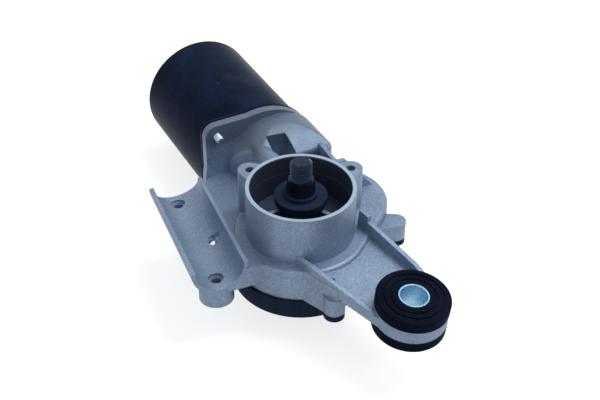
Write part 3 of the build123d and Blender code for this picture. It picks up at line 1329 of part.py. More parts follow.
# Blades of the connector
with BuildPart() as connector_pins:
    with BuildSketch(Plane.XY.offset(socket_bottom + PIN_RECESS)):
        with Locations(SOCKET_AT):
            with GridLocations(PIN_SPACING, 0, PINS, 1):
                Rectangle(PIN_THICKNESS, PIN_WIDTH)
    extrude(amount=cover_floor - socket_bottom - PIN_RECESS)
connector_pins.part.label = "connector_pins"
export_step(connector_pins.part, "parts/connector_pins.step")

# Rubber grommet: a disc on each face of the arm's eye, joined by a core through it
with BuildPart() as grommet:
    with BuildSketch(arm_plane.offset(-GROMMET_HALF_LENGTH)):
        Circle(GROMMET_RADIUS)
    extrude(amount=2 * GROMMET_HALF_LENGTH)
    fillet(grommet.edges().filter_by(GeomType.CIRCLE), radius=1)
    extrude(
        ring_sketch(arm_plane.offset(-EYE_HALF_HEIGHT), GROMMET_RADIUS + 1, EYE_HOLE_RADIUS),
        amount=2 * EYE_HALF_HEIGHT,
        mode=Mode.SUBTRACT,
    )
    groove_plane = arm_plane.offset(GROMMET_HALF_LENGTH - GROMMET_GROOVE_DEPTH)
    for groove_radius in GROMMET_GROOVES:
        groove_ring = ring_sketch(groove_plane, groove_radius + GROMMET_GROOVE_WIDTH, groove_radius)
        extrude(groove_ring, amount=1, mode=Mode.SUBTRACT)
    with BuildSketch(arm_plane.offset(-GROMMET_HALF_LENGTH - 1)):
        Circle(SLEEVE_RADIUS)
    extrude(amount=2 * GROMMET_HALF_LENGTH + 2, mode=Mode.SUBTRACT)
grommet.part.label = "grommet"
export_step(grommet.part, "parts/grommet.step")

# Steel sleeve through the grommet
with BuildPart() as mount_sleeve:
    sleeve_ring = ring_sketch(arm_plane.offset(-SLEEVE_HALF_LENGTH), SLEEVE_RADIUS, SLEEVE_BORE_RADIUS)
    extrude(sleeve_ring, amount=2 * SLEEVE_HALF_LENGTH)
mount_sleeve.part.label = "mount_sleeve"
export_step(mount_sleeve.part, "parts/mount_sleeve.step")
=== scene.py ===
import logging
from collections.abc import Iterable, Mapping
from dataclasses import dataclass, field
from enum import Enum
from math import cos, pi, radians, sin, tau

import bmesh
import bpy
from mathutils import Matrix, Vector


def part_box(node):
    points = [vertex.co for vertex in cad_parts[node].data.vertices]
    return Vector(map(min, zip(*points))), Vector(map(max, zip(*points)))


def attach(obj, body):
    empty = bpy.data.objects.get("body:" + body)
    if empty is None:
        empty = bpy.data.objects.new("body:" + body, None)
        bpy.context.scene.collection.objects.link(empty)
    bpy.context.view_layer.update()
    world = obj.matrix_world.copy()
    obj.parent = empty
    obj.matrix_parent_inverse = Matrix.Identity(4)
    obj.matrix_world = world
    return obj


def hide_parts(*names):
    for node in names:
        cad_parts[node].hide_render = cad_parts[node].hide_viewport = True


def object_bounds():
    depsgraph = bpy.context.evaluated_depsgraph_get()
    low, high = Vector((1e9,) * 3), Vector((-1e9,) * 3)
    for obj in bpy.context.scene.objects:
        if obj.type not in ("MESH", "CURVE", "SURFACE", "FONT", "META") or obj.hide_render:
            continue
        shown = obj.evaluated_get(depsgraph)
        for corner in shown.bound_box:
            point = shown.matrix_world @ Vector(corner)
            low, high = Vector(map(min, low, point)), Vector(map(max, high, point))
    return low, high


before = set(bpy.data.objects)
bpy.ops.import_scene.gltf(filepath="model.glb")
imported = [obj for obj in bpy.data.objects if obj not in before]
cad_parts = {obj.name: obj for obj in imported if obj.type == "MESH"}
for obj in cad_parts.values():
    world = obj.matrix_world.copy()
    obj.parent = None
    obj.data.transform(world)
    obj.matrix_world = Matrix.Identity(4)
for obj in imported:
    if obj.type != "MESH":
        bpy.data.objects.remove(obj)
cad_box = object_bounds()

# The looks of a geared wiper motor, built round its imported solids. Lengths are in metres.
# The output shaft's axis is Z, the cup's rim lies at zero height and the motor can points along +Y.

log = logging.getLogger("wiper_motor")
MILLIMETRE = 0.001
WAVE_PERIOD = tau / 20  # length of one band of the wave texture at a scale of 1
WHOLE_TURNS = 64.0  # added to a thread's phase so that it never drops below zero
PLACE_DIGITS = 5  # places are compared to a hundredth of a millimetre
Colour = tuple[float, float, float, float]
Span = tuple[float, float]


def screen(red: int, green: int, blue: int) -> Colour:
    """Turns a colour as a screen shows it into the linear values that a shader takes.

    Args:
        red: red part, 0 to 255.
        green: green part, 0 to 255.
        blue: blue part, 0 to 255.

    Returns:
        The linear colour with full alpha.
    """

    def linear(part: int) -> float:
        """Undoes the screen's curve for one part."""
        share = part / 255
        return share / 12.92 if share <= 0.04045 else ((share + 0.055) / 1.055) ** 2.4

    return (linear(red), linear(green), linear(blue), 1.0)


def grey(level: float) -> Colour:
    """Gives a neutral linear colour."""
    return (level, level, level, 1.0)


class Value:
    """A node's output socket that Python's operators can work on."""

    def __init__(self, graph: "Graph", socket: bpy.types.NodeSocket) -> None:
        """Keeps the socket and the graph that it belongs to."""
        self.graph = graph
        self.socket = socket

    def other(self, name: str) -> "Value":
        """Gives another output of the same node."""
        return Value(self.graph, self.socket.node.outputs[name])

    def __add__(self, other: "Value | float") -> "Value":
        """Adds."""
        return self.graph.math("ADD", self, other)

    def __radd__(self, other: "Value | float") -> "Value":
        """Adds, from the right."""
        return self.graph.math("ADD", other, self)

    def __sub__(self, other: "Value | float") -> "Value":
        """Subtracts."""
        return self.graph.math("SUBTRACT", self, other)

    def __rsub__(self, other: "Value | float") -> "Value":
        """Is subtracted from a number."""
        return self.graph.math("SUBTRACT", other, self)

    def __mul__(self, other: "Value | float") -> "Value":
        """Multiplies."""
        return self.graph.math("MULTIPLY", self, other)

    def __rmul__(self, other: "Value | float") -> "Value":
        """Multiplies, from the right."""
        return self.graph.math("MULTIPLY", other, self)

    def __truediv__(self, other: "Value | float") -> "Value":
        """Divides."""
        return self.graph.math("DIVIDE", self, other)

    def __rtruediv__(self, other: "Value | float") -> "Value":
        """Divides a number."""
        return self.graph.math("DIVIDE", other, self)

    def __abs__(self) -> "Value":
        """Drops the sign."""
        return self.graph.math("ABSOLUTE", self)


class Graph:
    """A node tree that is written as Python expressions."""

    def __init__(self, tree: bpy.types.NodeTree) -> None:
        """Keeps the tree."""
        self.tree = tree

    def node(
        self,
        kind: str,
        settings: Mapping[str, object] | None = None,
        inputs: Mapping[object, object] | None = None,
        output: int | str = 0,
    ) -> Value:
        """Adds a node.

        Args:
            kind: the node's type name.
            settings: its own settings, set before any socket.
            inputs: a value or a link for each socket, by name or by number.
            output: which output to give back.

        Returns:
            The chosen output.
        """
        made = self.tree.nodes.new(kind)
        for name, setting in (settings or {}).items():
            setattr(made, name, setting)
        for key, given in (inputs or {}).items():
            if isinstance(given, Value):
                self.tree.links.new(given.socket, made.inputs[key])
            else:
                made.inputs[key].default_value = given
        return Value(self, made.outputs[output])

    def math(self, operation: str, first: "Value | float", second: "Value | float" = 0.0) -> Value:
        """Adds a Math node with one or two values."""
        return self.node("ShaderNodeMath", {"operation": operation}, {0: first, 1: second})

    def rise(self, value: Value, low: float, high: float) -> Value:
        """Gives 0 below low, 1 above high and a smooth rise between them.

        Args:
            value: what rises.
            low: where the result leaves 0.
            high: where it reaches 1.

        Returns:
            The result, 0 to 1.
        """
        return self.node(
            "ShaderNodeMapRange",
            {"interpolation_type": "SMOOTHSTEP"},
            {"Value": value, "From Min": low, "From Max": high},
        )

    def spread(self, value: Value, low: float, high: float) -> Value:
        """Stretches a value of 0 to 1 over low to high."""
        return value * (high - low) + low


class Paint(Graph):
    """The node graph of one material, with the textures that the finishes share."""

    def __init__(self, name: str) -> None:
        """Makes an empty material with a Principled shader.

        Args:
            name: the material's name.
        """
        self.material = bpy.data.materials.new(name)
        self.material.use_nodes = True
        super().__init__(self.material.node_tree)
        self.tree.nodes.clear()
        self.shader = self.tree.nodes.new("ShaderNodeBsdfPrincipled")
        end = self.tree.nodes.new("ShaderNodeOutputMaterial")
        self.tree.links.new(self.shader.outputs[0], end.inputs["Surface"])
        self.place = self.node("ShaderNodeTexCoord", output="Object")
        self.x = self.node("ShaderNodeSeparateXYZ", inputs={0: self.place}, output="X")
        self.y = self.x.other("Y")
        self.z = self.x.other("Z")

    def noise(
        self, scale: float, detail: float = 3.0, stretch: tuple[float, float, float] = (1, 1, 1)
    ) -> Value:
        """Gives fractal noise.

        Args:
            scale: features per metre.
            detail: how many finer layers it has.
            stretch: scale along each axis.

        Returns:
            The noise, about 0.5 on average.
        """
        place = self.node(
            "ShaderNodeVectorMath", {"operation": "MULTIPLY"}, {0: self.place, 1: stretch}
        )
        sockets = {"Vector": place, "Scale": scale, "Detail": detail}
        return self.node("ShaderNodeTexNoise", inputs=sockets)

    def specks(self, scale: float, radius: float, core: float = 0.6) -> Value:
        """Gives small round specks that are 1 inside.

        Args:
            scale: specks per metre.
            radius: their radius as a share of their spacing.
            core: share of the radius inside which they are full.

        Returns:
            The specks, 0 to 1.
        """
        distance = self.node("ShaderNodeTexVoronoi", inputs={"Vector": self.place, "Scale": scale})
        return 1 - self.rise(distance, radius * core, radius)

    def bands(self, spacing: float, direction: str) -> Value:
        """Gives fine lines across one axis.

        Args:
            spacing: from line to line, in metres.
            direction: the axis that they are counted along.

        Returns:
            The lines, 0 to 1.
        """
        scale = WAVE_PERIOD / spacing
        return self.node(
            "ShaderNodeTexWave",
            {"bands_direction": direction},
            {"Vector": self.place, "Scale": scale, "Distortion": 0.6, "Detail Scale": 2.0},
            output="Fac",
        )

    def mix(self, share: "Value | float", first: "Value | Colour", second: "Value | Colour") -> Value:
        """Mixes two colours: the second one's share is 0 to 1."""
        return self.node("ShaderNodeMix", {"data_type": "RGBA"}, {0: share, 6: first, 7: second}, 2)

    def relief(self, height: Value, depth: float, edge: float) -> Value:
        """Turns a height into a normal.

        Args:
            height: the height, 0 to 1.
            depth: what 1 stands for, in metres.
            edge: radius by which sharp edges look rounded, in metres.

        Returns:
            The normal for the shader.
        """
        rounded = self.node("ShaderNodeBevel", {"samples": 4}, {"Radius": edge}, output="Normal")
        sockets = {"Strength": 1.0, "Distance": depth, "Height": height, "Normal": rounded}
        return self.node("ShaderNodeBump", inputs=sockets)

    def finish(
        self, constants: Mapping[str, object], varying: Mapping[str, Value]
    ) -> bpy.types.Material:
        """Sets the shader's sockets.

        Args:
            constants: values that are the same all over.
            varying: values that change over the surface.

        Returns:
            The finished material.
        """
        for name, constant in constants.items():
            self.shader.inputs[name].default_value = constant
        for name, value in varying.items():
            self.tree.links.new(value.socket, self.shader.inputs[name])
        return self.material


@dataclass(frozen=True)
class Finish:
    """A plain finish: two colours in soft patches, a fine grain and rounded edges.

    Roughness wanders from smooth to rough. Gloss, index and sheen are the shader's specular level,
    index of refraction and specular tint. Patches and grain count features per metre, and cloud is
    the patches' share beside the grain. Depth is the relief's height and edge the radius of edges.
    """

    name: str
    slot: str
    light: Colour
    dark: Colour
    metallic: float = 0.0
    smooth: float = 0.35
    rough: float = 0.55
    gloss: float = 0.35
    index: float = 1.45
    sheen: Colour = (1.0, 1.0, 1.0, 1.0)
    patches: float = 70.0
    cloud: float = 0.5
    grain: float = 2400.0
    depth: float = 0.00004
    edge: float = 0.00025

    def colour(self, paint: Paint) -> Value:
        """Gives the colour over the surface.

        Args:
            paint: the graph that it is written into.

        Returns:
            The colour.
        """
        cloud = paint.noise(self.patches, detail=4.0)
        fine = paint.noise(self.grain / 2, detail=2.0)
        share = cloud * self.cloud + fine * (1.0 - self.cloud)
        return paint.mix(paint.rise(share, low=0.3, high=0.7), self.dark, self.light)

    def height(self, paint: Paint) -> Value:
        """Gives the fine relief over the surface."""
        return paint.noise(self.grain)

    def constants(self) -> dict[str, object]:
        """Gives the shader's fixed values.

        Returns:
            A value for each socket's name.
        """
        return {
            "Metallic": self.metallic,
            "IOR": self.index,
            "Specular IOR Level": self.gloss,
            "Specular Tint": self.sheen,
        }

    def build(self) -> bpy.types.Material:
        """Makes the material, or gives the one made before.

        Returns:
            The material.
        """
        found = bpy.data.materials.get(self.name)
        if found:
            return found
        paint = Paint(self.name)
        roughness = paint.spread(paint.noise(self.patches * 3), self.smooth, self.rough)
        return paint.finish(
            self.constants(),
            {
                "Base Color": self.colour(paint),
                "Roughness": roughness,
                "Normal": paint.relief(self.height(paint), self.depth, self.edge),
            },
        )


@dataclass(frozen=True)
class CastFinish(Finish):
    """Die-cast aluminium: sandy skin with pits and flow marks, a milled rim, painted shade over the
    bell's upper part and painted shade inside the cup.

    Each span says from where to where a tone fades, as a radius round the output shaft, as a
    place along the motor or as a height. Ragged is how far the upper edge of the painted shade inside
    the cup wanders.
    """

    # painted shade: a dark navy laid on the cup's inner wall and floor, where shade falls
    black: Colour = screen(68, 76, 100)
    milled: Colour = screen(176, 196, 218)
    pit: Colour = screen(62, 72, 90)
    # painted shade: a darker tone laid over the bell's upper part next to the can
    dull: Colour = screen(84, 97, 116)
    flow_share: float = 0.2
    pit_share: float = 0.75
    milled_share: float = 0.8
    # share of the painted shade over the bell's upper part
    bell_painted_shade_share: float = 0.7
    # how far the band of the ribs inside the cup is spared from the painted shade
    rib_shade_spared_share: float = 0.9
    rim_height: Span = (-0.12 * MILLIMETRE, -0.02 * MILLIMETRE)
    rim_radius: Span = (25.2 * MILLIMETRE, 25.4 * MILLIMETRE)
    bell_place: Span = (36.0 * MILLIMETRE, 50.0 * MILLIMETRE)
    bell_height: Span = (-18.0 * MILLIMETRE, -10.0 * MILLIMETRE)
    cup_radius: Span = (23.7 * MILLIMETRE, 24.1 * MILLIMETRE)
    cup_top: Span = (-0.7 * MILLIMETRE, -0.2 * MILLIMETRE)
    cup_floor: Span = (-21.5 * MILLIMETRE, -20.5 * MILLIMETRE)
    rib_foot: Span = (-9.25 * MILLIMETRE, -9.18 * MILLIMETRE)
    rib_head: Span = (-9.05 * MILLIMETRE, -8.95 * MILLIMETRE)
    ragged: float = 0.4 * MILLIMETRE

    def radius(self, paint: Paint) -> Value:
        """Gives the distance from the output shaft's axis."""
        return paint.math("SQRT", paint.x * paint.x + paint.y * paint.y)

    def pits(self, paint: Paint) -> Value:
        """Gives small pits in scattered groups."""
        groups = paint.rise(paint.noise(90.0, detail=2.0), low=0.5, high=0.6)
        return paint.specks(620.0, radius=0.16) * groups

    def colour(self, paint: Paint) -> Value:
        """Mixes skin, flow marks, pits, the milled rim, painted shade over the bell's upper part and
        painted shade inside the cup.

        Args:
            paint: the graph that it is written into.

        Returns:
            The colour.
        """
        flow = paint.rise(paint.noise(45.0, detail=5.0, stretch=(1.0, 1.0, 3.0)), low=0.5, high=0.8)
        skin = paint.mix(flow * self.flow_share, super().colour(paint), self.dark)
        skin = paint.mix(self.pits(paint) * self.pit_share, skin, self.pit)
        radius = self.radius(paint)
        rim = paint.rise(paint.z, *self.rim_height) * (1 - paint.rise(radius, *self.rim_radius))
        skin = paint.mix(rim * self.milled_share, skin, self.milled)
        # painted shade over the bell's upper part
        bell = paint.rise(paint.y, *self.bell_place) * paint.rise(paint.z, *self.bell_height)
        skin = paint.mix(bell * self.bell_painted_shade_share, skin, self.dull)
        # painted shade inside the cup: below its rim and above its floor, lighter on the ribs' band
        edge = paint.z + paint.noise(420.0) * self.ragged
        inside = 1 - paint.rise(radius, *self.cup_radius)
        below = 1 - paint.rise(edge, *self.cup_top)
        above = paint.rise(paint.z, *self.cup_floor)
        ribs = paint.rise(paint.z, *self.rib_foot) * (1 - paint.rise(paint.z, *self.rib_head))
        return paint.mix(
            inside * below * above * (1 - ribs * self.rib_shade_spared_share), skin, self.black
        )

    def height(self, paint: Paint) -> Value:
        """Adds waves and pits to the sandy grain."""
        sand = paint.noise(1500.0, detail=4.0) * 0.6
        return sand + paint.noise(300.0) * 0.8 - self.pits(paint) * 1.5


@dataclass(frozen=True)
class LinedFinish(Finish):
    """A finish with fine lines across one axis, as turning, rolling or stacked sheets leave them."""

    spacing: float = 0.0003
    direction: str = "Z"
    contrast: float = 0.5

    def colour(self, paint: Paint) -> Value:
        """Darkens the plain colour along the lines."""
        lines = paint.bands(self.spacing, self.direction)
        return paint.mix(lines * self.contrast, super().colour(paint), self.dark)

    def height(self, paint: Paint) -> Value:
        """Makes the lines stand out over the grain."""
        return paint.bands(self.spacing, self.direction) + super().height(paint) * 0.5


@dataclass(frozen=True)
class CoatedFinish(Finish):
    """A smooth lacquer over sheet steel, with a soft orange-peel surface and dust."""

    dust: Colour = screen(70, 78, 96)
    veil_share: float = 0.25
    scuff_share: float = 0.35

    def colour(self, paint: Paint) -> Value:
        """Adds a thin veil of dust and small scuffs.

        Args:
            paint: the graph that it is written into.

        Returns:
            The colour.
        """
        veil = paint.rise(paint.noise(55.0, detail=5.0), low=0.5, high=0.85) * self.veil_share
        streaks = paint.noise(260.0, detail=5.0, stretch=(1.0, 0.25, 1.0))
        scuffs = paint.rise(streaks, low=0.66, high=0.74) * self.scuff_share
        return paint.mix(scuffs, paint.mix(veil, super().colour(paint), self.dust), self.dust)

    def height(self, paint: Paint) -> Value:
        """Gives the orange-peel surface."""
        return paint.noise(420.0, detail=2.0)


class Look(Enum):
    """Every finish of the motor."""

    CASTING = CastFinish(
        "sandy_aluminium", "cast_aluminium", screen(148, 168, 193), screen(116, 134, 158),
        metallic=0.4, smooth=0.4, rough=0.56, patches=60.0, cloud=0.35, depth=0.00005, edge=0.0006,
    )
    CAN = CoatedFinish(
        "can_lacquer", "black_can", screen(30, 42, 70), screen(17, 25, 44),
        gloss=0.3, index=1.1, sheen=screen(150, 195, 255),
        smooth=0.26, rough=0.4, depth=0.00003, edge=0.0005,
    )
    GASKET = Finish(
        "fibre_sheet", "gasket_fibre", screen(52, 56, 66), screen(30, 33, 40), smooth=0.7, rough=0.9,
    )
    ZINC = LinedFinish(
        "zinc_plating", "zinc_steel", screen(206, 222, 236), screen(140, 160, 182),
        metallic=0.9, smooth=0.18, rough=0.36, depth=0.00001, spacing=0.0004, contrast=0.2,
    )
    SLEEVE = LinedFinish(
        "bright_plating", "zinc_steel", screen(184, 228, 250), screen(140, 186, 216),
        metallic=0.6, smooth=0.2, rough=0.34, depth=0.00001, spacing=0.0005, contrast=0.25,
    )
    BLACK_STEEL = Finish(
        "oiled_steel", "black_steel", screen(38, 48, 72), screen(8, 9, 14),
        metallic=0.2, gloss=0.5, index=1.4, sheen=screen(190, 220, 255),
        smooth=0.14, rough=0.3, depth=0.00001, edge=0.00005,
    )
    RUBBER = Finish(
        "moulded_rubber", "black_rubber", screen(27, 33, 52), screen(15, 19, 32),
        gloss=0.06, index=1.15, smooth=0.42, rough=0.62, depth=0.00003, edge=0.0004,
    )
    COVER = Finish(
        "cover_moulding", "black_plastic", screen(46, 56, 82), screen(32, 40, 60),
        gloss=0.07, index=1.2, sheen=screen(190, 220, 255),
        smooth=0.36, rough=0.55, grain=3200.0, edge=0.0003,
    )
    CAP = Finish(
        "cap_moulding", "cap_plastic", screen(48, 58, 84), screen(30, 38, 58),
        gloss=0.08, index=1.2, smooth=0.3, rough=0.5, edge=0.0004,
    )
    ACETAL = Finish(
        "white_acetal", "gear_plastic", screen(232, 228, 212), screen(214, 208, 188),
        smooth=0.3, rough=0.5, depth=0.00001, edge=0.00015,
    )
    STEEL = LinedFinish(
        "drawn_steel", "bare_steel", screen(186, 190, 196), screen(120, 126, 134),
        metallic=1.0, smooth=0.22, rough=0.4, depth=0.00001, edge=0.00015, spacing=0.0003, direction="Y",
    )
    BRONZE = Finish(
        "sintered_bronze", "bronze", screen(186, 144, 92), screen(128, 92, 54),
        metallic=0.9, smooth=0.3, rough=0.5,
    )
    BRASS = Finish(
        "brass_strip", "brass_sheet", screen(222, 188, 118), screen(170, 134, 70),
        metallic=1.0, smooth=0.2, rough=0.4, depth=0.00001, edge=0.0001,
    )
    COPPER = LinedFinish(
        "copper_wire", "copper", screen(214, 128, 84), screen(128, 62, 38),
        metallic=0.9, smooth=0.22, rough=0.4, depth=0.00012, spacing=0.0009, direction="DIAGONAL",
    )
    IRON = LinedFinish(
        "stacked_iron", "lamination_iron", screen(120, 122, 128), screen(60, 62, 68),
        metallic=0.8, smooth=0.35, rough=0.55, depth=0.00006, spacing=0.0006, direction="Y",
    )
    FERRITE = Finish(
        "ferrite_block", "ferrite", screen(72, 72, 76), screen(44, 44, 48),
        metallic=0.2, smooth=0.45, rough=0.7,
    )
    CARBON = Finish(
        "carbon_block", "carbon", screen(58, 56, 54), screen(32, 31, 30), smooth=0.5, rough=0.75,
    )
    BOARD = Finish(
        "phenolic_sheet", "board", screen(146, 96, 52), screen(108, 66, 34), smooth=0.35, rough=0.6,
    )


def dress(node: str, look: Look) -> None:
    """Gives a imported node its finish.

    Args:
        node: the node's name.
        look: the finish.
    """
    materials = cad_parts[node].data.materials
    materials.clear()
    materials.append(look.value.build())
    log.info("dressed %s in %s", node, look.name)


def dress_all(looks: Mapping[str, Look]) -> None:
    """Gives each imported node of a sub-assembly its finish."""
    for node, look in looks.items():
        dress(node, look)


def settle(
    mesh: bpy.types.Mesh, name: str, body: str, look: Look, replaced: Iterable[str] = ()
) -> None:
    """Puts a finished mesh into the scene as a piece of the motor.

    Args:
        mesh: the mesh, already in its place.
        name: the piece's name.
        body: the body that it rides on.
        look: its finish.
        replaced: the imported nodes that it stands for.
    """
    mesh.name = name
    mesh.materials.clear()
    mesh.materials.append(look.value.build())
    piece = bpy.data.objects.new(name, mesh)
    bpy.context.scene.collection.objects.link(piece)
    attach(piece, body)
    if replaced:
        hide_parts(*replaced)
    log.info("built %s with %d faces", name, len(mesh.polygons))


def shade(mesh: bpy.types.Mesh, angle: float = 35.0) -> None:
    """Smooths a mesh except at edges sharper than an angle in degrees."""
    mesh.shade_smooth()
    mesh.set_sharp_from_angle(angle=radians(angle))


def evaluated(piece: bpy.types.Object) -> bpy.types.Mesh:
    """Gives a piece's mesh with its modifiers applied, and removes the piece.

    Args:
        piece: the object, already linked to the scene.

    Returns:
        The plain mesh.
    """
    graph = bpy.context.evaluated_depsgraph_get()
    mesh = bpy.data.meshes.new_from_object(piece.evaluated_get(graph))
    bpy.data.objects.remove(piece)
    return mesh


def solids(node: str) -> list[tuple[Vector, Vector]]:
    """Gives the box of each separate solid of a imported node.

    Args:
        node: the node's name.

    Returns:
        The lowest and highest corner of each solid, sorted by place.
    """
    shape = bmesh.new()
    shape.from_mesh(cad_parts[node].data)
    bmesh.ops.remove_doubles(shape, verts=shape.verts, dist=0.001 * MILLIMETRE)
    left = set(shape.verts)
    boxes = []
    while left:
        group = [left.pop()]
        for vertex in group:
            near = {edge.other_vert(vertex) for edge in vertex.link_edges} & left
            left -= near
            group.extend(near)
        spans = [[vertex.co[axis] for vertex in group] for axis in range(3)]
        boxes.append((Vector([min(span) for span in spans]), Vector([max(span) for span in spans])))
    shape.free()
    return sorted(boxes, key=lambda box: (round(box[0].x, PLACE_DIGITS), round(box[0].y, PLACE_DIGITS)))


class Rule(Graph):
    """A Geometry Nodes tree with named inputs, whose result becomes a plain mesh."""

    def __init__(self, name: str, inputs: Mapping[str, str]) -> None:
        """Makes the tree with its inputs.

        Args:
            name: the tree's name.
            inputs: socket type for each input's name.
        """
        super().__init__(bpy.data.node_groups.new(name, "GeometryNodeTree"))
        face = self.tree.interface
        face.new_socket("Places", in_out="INPUT", socket_type="NodeSocketGeometry")
        for title, kind in inputs.items():
            face.new_socket(title, in_out="INPUT", socket_type=kind)
        face.new_socket("Material", in_out="INPUT", socket_type="NodeSocketMaterial")
        face.new_socket("Geometry", in_out="OUTPUT", socket_type="NodeSocketGeometry")
        self.start = self.tree.nodes.new("NodeGroupInput")

    def given(self, name: str) -> Value:
        """Gives one of the tree's inputs."""
        return Value(self, self.start.outputs[name])

    def close(self, geometry: Value) -> None:
        """Ends the tree in Realize Instances and Set Material.

        Args:
            geometry: what the tree gives.
        """
        real = self.node("GeometryNodeRealizeInstances", inputs={"Geometry": geometry})
        painted = self.node(
            "GeometryNodeSetMaterial", inputs={"Geometry": real, "Material": self.given("Material")}
        )
        end = self.tree.nodes.new("NodeGroupOutput")
        self.tree.links.new(painted.socket, end.inputs[0])

    def join(self, parts: Iterable[Value]) -> Value:
        """Joins several geometries.

        Args:
            parts: the geometries.

        Returns:
            All of them in one.
        """
        joined = self.tree.nodes.new("GeometryNodeJoinGeometry")
        for part in parts:
            self.tree.links.new(part.socket, joined.inputs[0])
        return Value(self, joined.outputs[0])

    def moved(self, geometry: Value, place: "Value | tuple[float, float, float]") -> Value:
        """Moves a geometry."""
        return self.node("GeometryNodeTransform", inputs={"Geometry": geometry, "Translation": place})

    def rod(
        self,
        bottom: "Value | float",
        top: "Value | float",
        length: "Value | float",
        thread: tuple["Value | float", "Value | float"] = (0.0, 1.0),
        teeth: tuple["Value | float", "Value | float"] = (0.0, 0.0),
        chamfer: "Value | float" = 0.0,
        around: int = 48,
        along: int = 96,
    ) -> Value:
        """Turns a rod about Z with its foot at zero: a thread, upright teeth and a chamfered end.

        Args:
            bottom: radius at the foot.
            top: radius at the head.
            length: its length.
            thread: depth and pitch of a right-handed thread.
            teeth: depth and count of upright teeth.
            chamfer: size of the head's chamfer.
            around: vertices round the rod.
            along: rows of faces along it.

        Returns:
            The rod's mesh.
        """
        barrel = self.node(
            "GeometryNodeMeshCylinder",
            {"fill_type": "NGON"},
            {"Vertices": around, "Side Segments": along, "Radius": 1.0, "Depth": length},
        )
        place = self.node("GeometryNodeInputPosition")
        x = self.node("ShaderNodeSeparateXYZ", inputs={0: place}, output="X")
        y, z = x.other("Y"), x.other("Z")
        turn = self.math("ARCTAN2", y, x) / tau
        climb = z / length + 0.5
        phase = self.math("FRACT", z / thread[1] - turn + WHOLE_TURNS)
        ridge = 1 - abs(phase * 2 - 1)
        tooth = self.math("COSINE", turn * tau * teeth[1]) * 0.5 + 0.5
        radius = bottom + climb * (top - bottom) - thread[0] * (1 - ridge) - teeth[0] * (1 - tooth)
        limit = top - chamfer + (1 - climb) * length
        radius = self.math("MINIMUM", radius, limit)
        shaped = self.node("ShaderNodeCombineXYZ", inputs={0: x * radius, 1: y * radius, 2: z})
        bent = self.node("GeometryNodeSetPosition", inputs={"Geometry": barrel, "Position": shaped})
        return self.moved(bent, self.node("ShaderNodeCombineXYZ", inputs={2: length * 0.5}))

    def run(
        self, places: Iterable[tuple[float, float, float]], values: Mapping[str, object]
    ) -> bpy.types.Mesh:
        """Runs the tree on a set of points.

        Args:
            places: the points that it gets.
            values: a value for each named input.

        Returns:
            The plain mesh that comes out.
        """
        points = bpy.data.meshes.new(self.tree.name)
        points.from_pydata(list(places), [], [])
        carrier = bpy.data.objects.new(self.tree.name, points)
        bpy.context.scene.collection.objects.link(carrier)
        modifier = carrier.modifiers.new("Rule", "NODES")
        modifier.node_group = self.tree
        for item in self.tree.interface.items_tree:
            if item.item_type == "SOCKET" and item.in_out == "INPUT" and item.name in values:
                modifier[item.identifier] = values[item.name]
        return evaluated(carrier)


def frame_matrix(place: Vector, up: Vector) -> Matrix:
    """Gives the matrix that puts the origin at a place and turns Z to a direction."""
    return Matrix.Translation(place) @ up.to_track_quat("Z", "Y").to_matrix().to_4x4()


@dataclass
class Casting:
    """The aluminium gear housing and the threads in its tube saddle, whose yaw is in degrees."""

    node: str = "gear_housing"
    saddle_near: tuple[float, float] = (-45.4 * MILLIMETRE, -5.1 * MILLIMETRE)
    saddle_spacing: float = 57.2 * MILLIMETRE
    saddle_yaw: float = 6.2
    thread_top: float = -33.7 * MILLIMETRE
    thread_length: float = 6.6 * MILLIMETRE
    thread_radius: float = 2.5 * MILLIMETRE
    thread_pitch: float = 0.8 * MILLIMETRE
    ridge_radius: float = 0.42 * MILLIMETRE

    def threads(self) -> bpy.types.Mesh:
        """Winds the thread's crest into the wall of both screw holes of the saddle.

        Returns:
            The mesh of both threads.
        """
        rule = Rule("thread_rule", {"Pitch": "NodeSocketFloat", "Ridge": "NodeSocketFloat"})
        crest = rule.node(
            "GeometryNodeCurveSpiral",
            inputs={
                "Resolution": 28,
                "Rotations": self.thread_length / rule.given("Pitch"),
                "Start Radius": self.thread_radius,
                "End Radius": self.thread_radius,
                "Height": self.thread_length,
            },
        )
        section = rule.node(
            "GeometryNodeCurvePrimitiveCircle", inputs={"Resolution": 6, "Radius": rule.given("Ridge")}
        )
        sweep = {"Curve": crest, "Profile Curve": section, "Fill Caps": True}
        wound = rule.node("GeometryNodeCurveToMesh", inputs=sweep)
        rows = rule.node(
            "GeometryNodeInstanceOnPoints", inputs={"Points": rule.given("Places"), "Instance": wound}
        )
        rule.close(rows)
        x, y = self.saddle_near
        foot = self.thread_top - self.thread_length
        yaw = radians(self.saddle_yaw)
        along = Vector((sin(yaw), cos(yaw))) * self.saddle_spacing
        mesh = rule.run(
            [(x, y, foot), (x + along.x, y + along.y, foot)],
            {
                "Pitch": self.thread_pitch,
                "Ridge": self.ridge_radius,
                "Material": Look.CASTING.value.build(),
            },
        )
        shade(mesh, angle=60.0)
        return mesh

    def build(self) -> None:
        """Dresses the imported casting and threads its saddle's holes."""
        dress(self.node, Look.CASTING)
        settle(self.threads(), "saddle_threads", "housing", Look.CASTING)


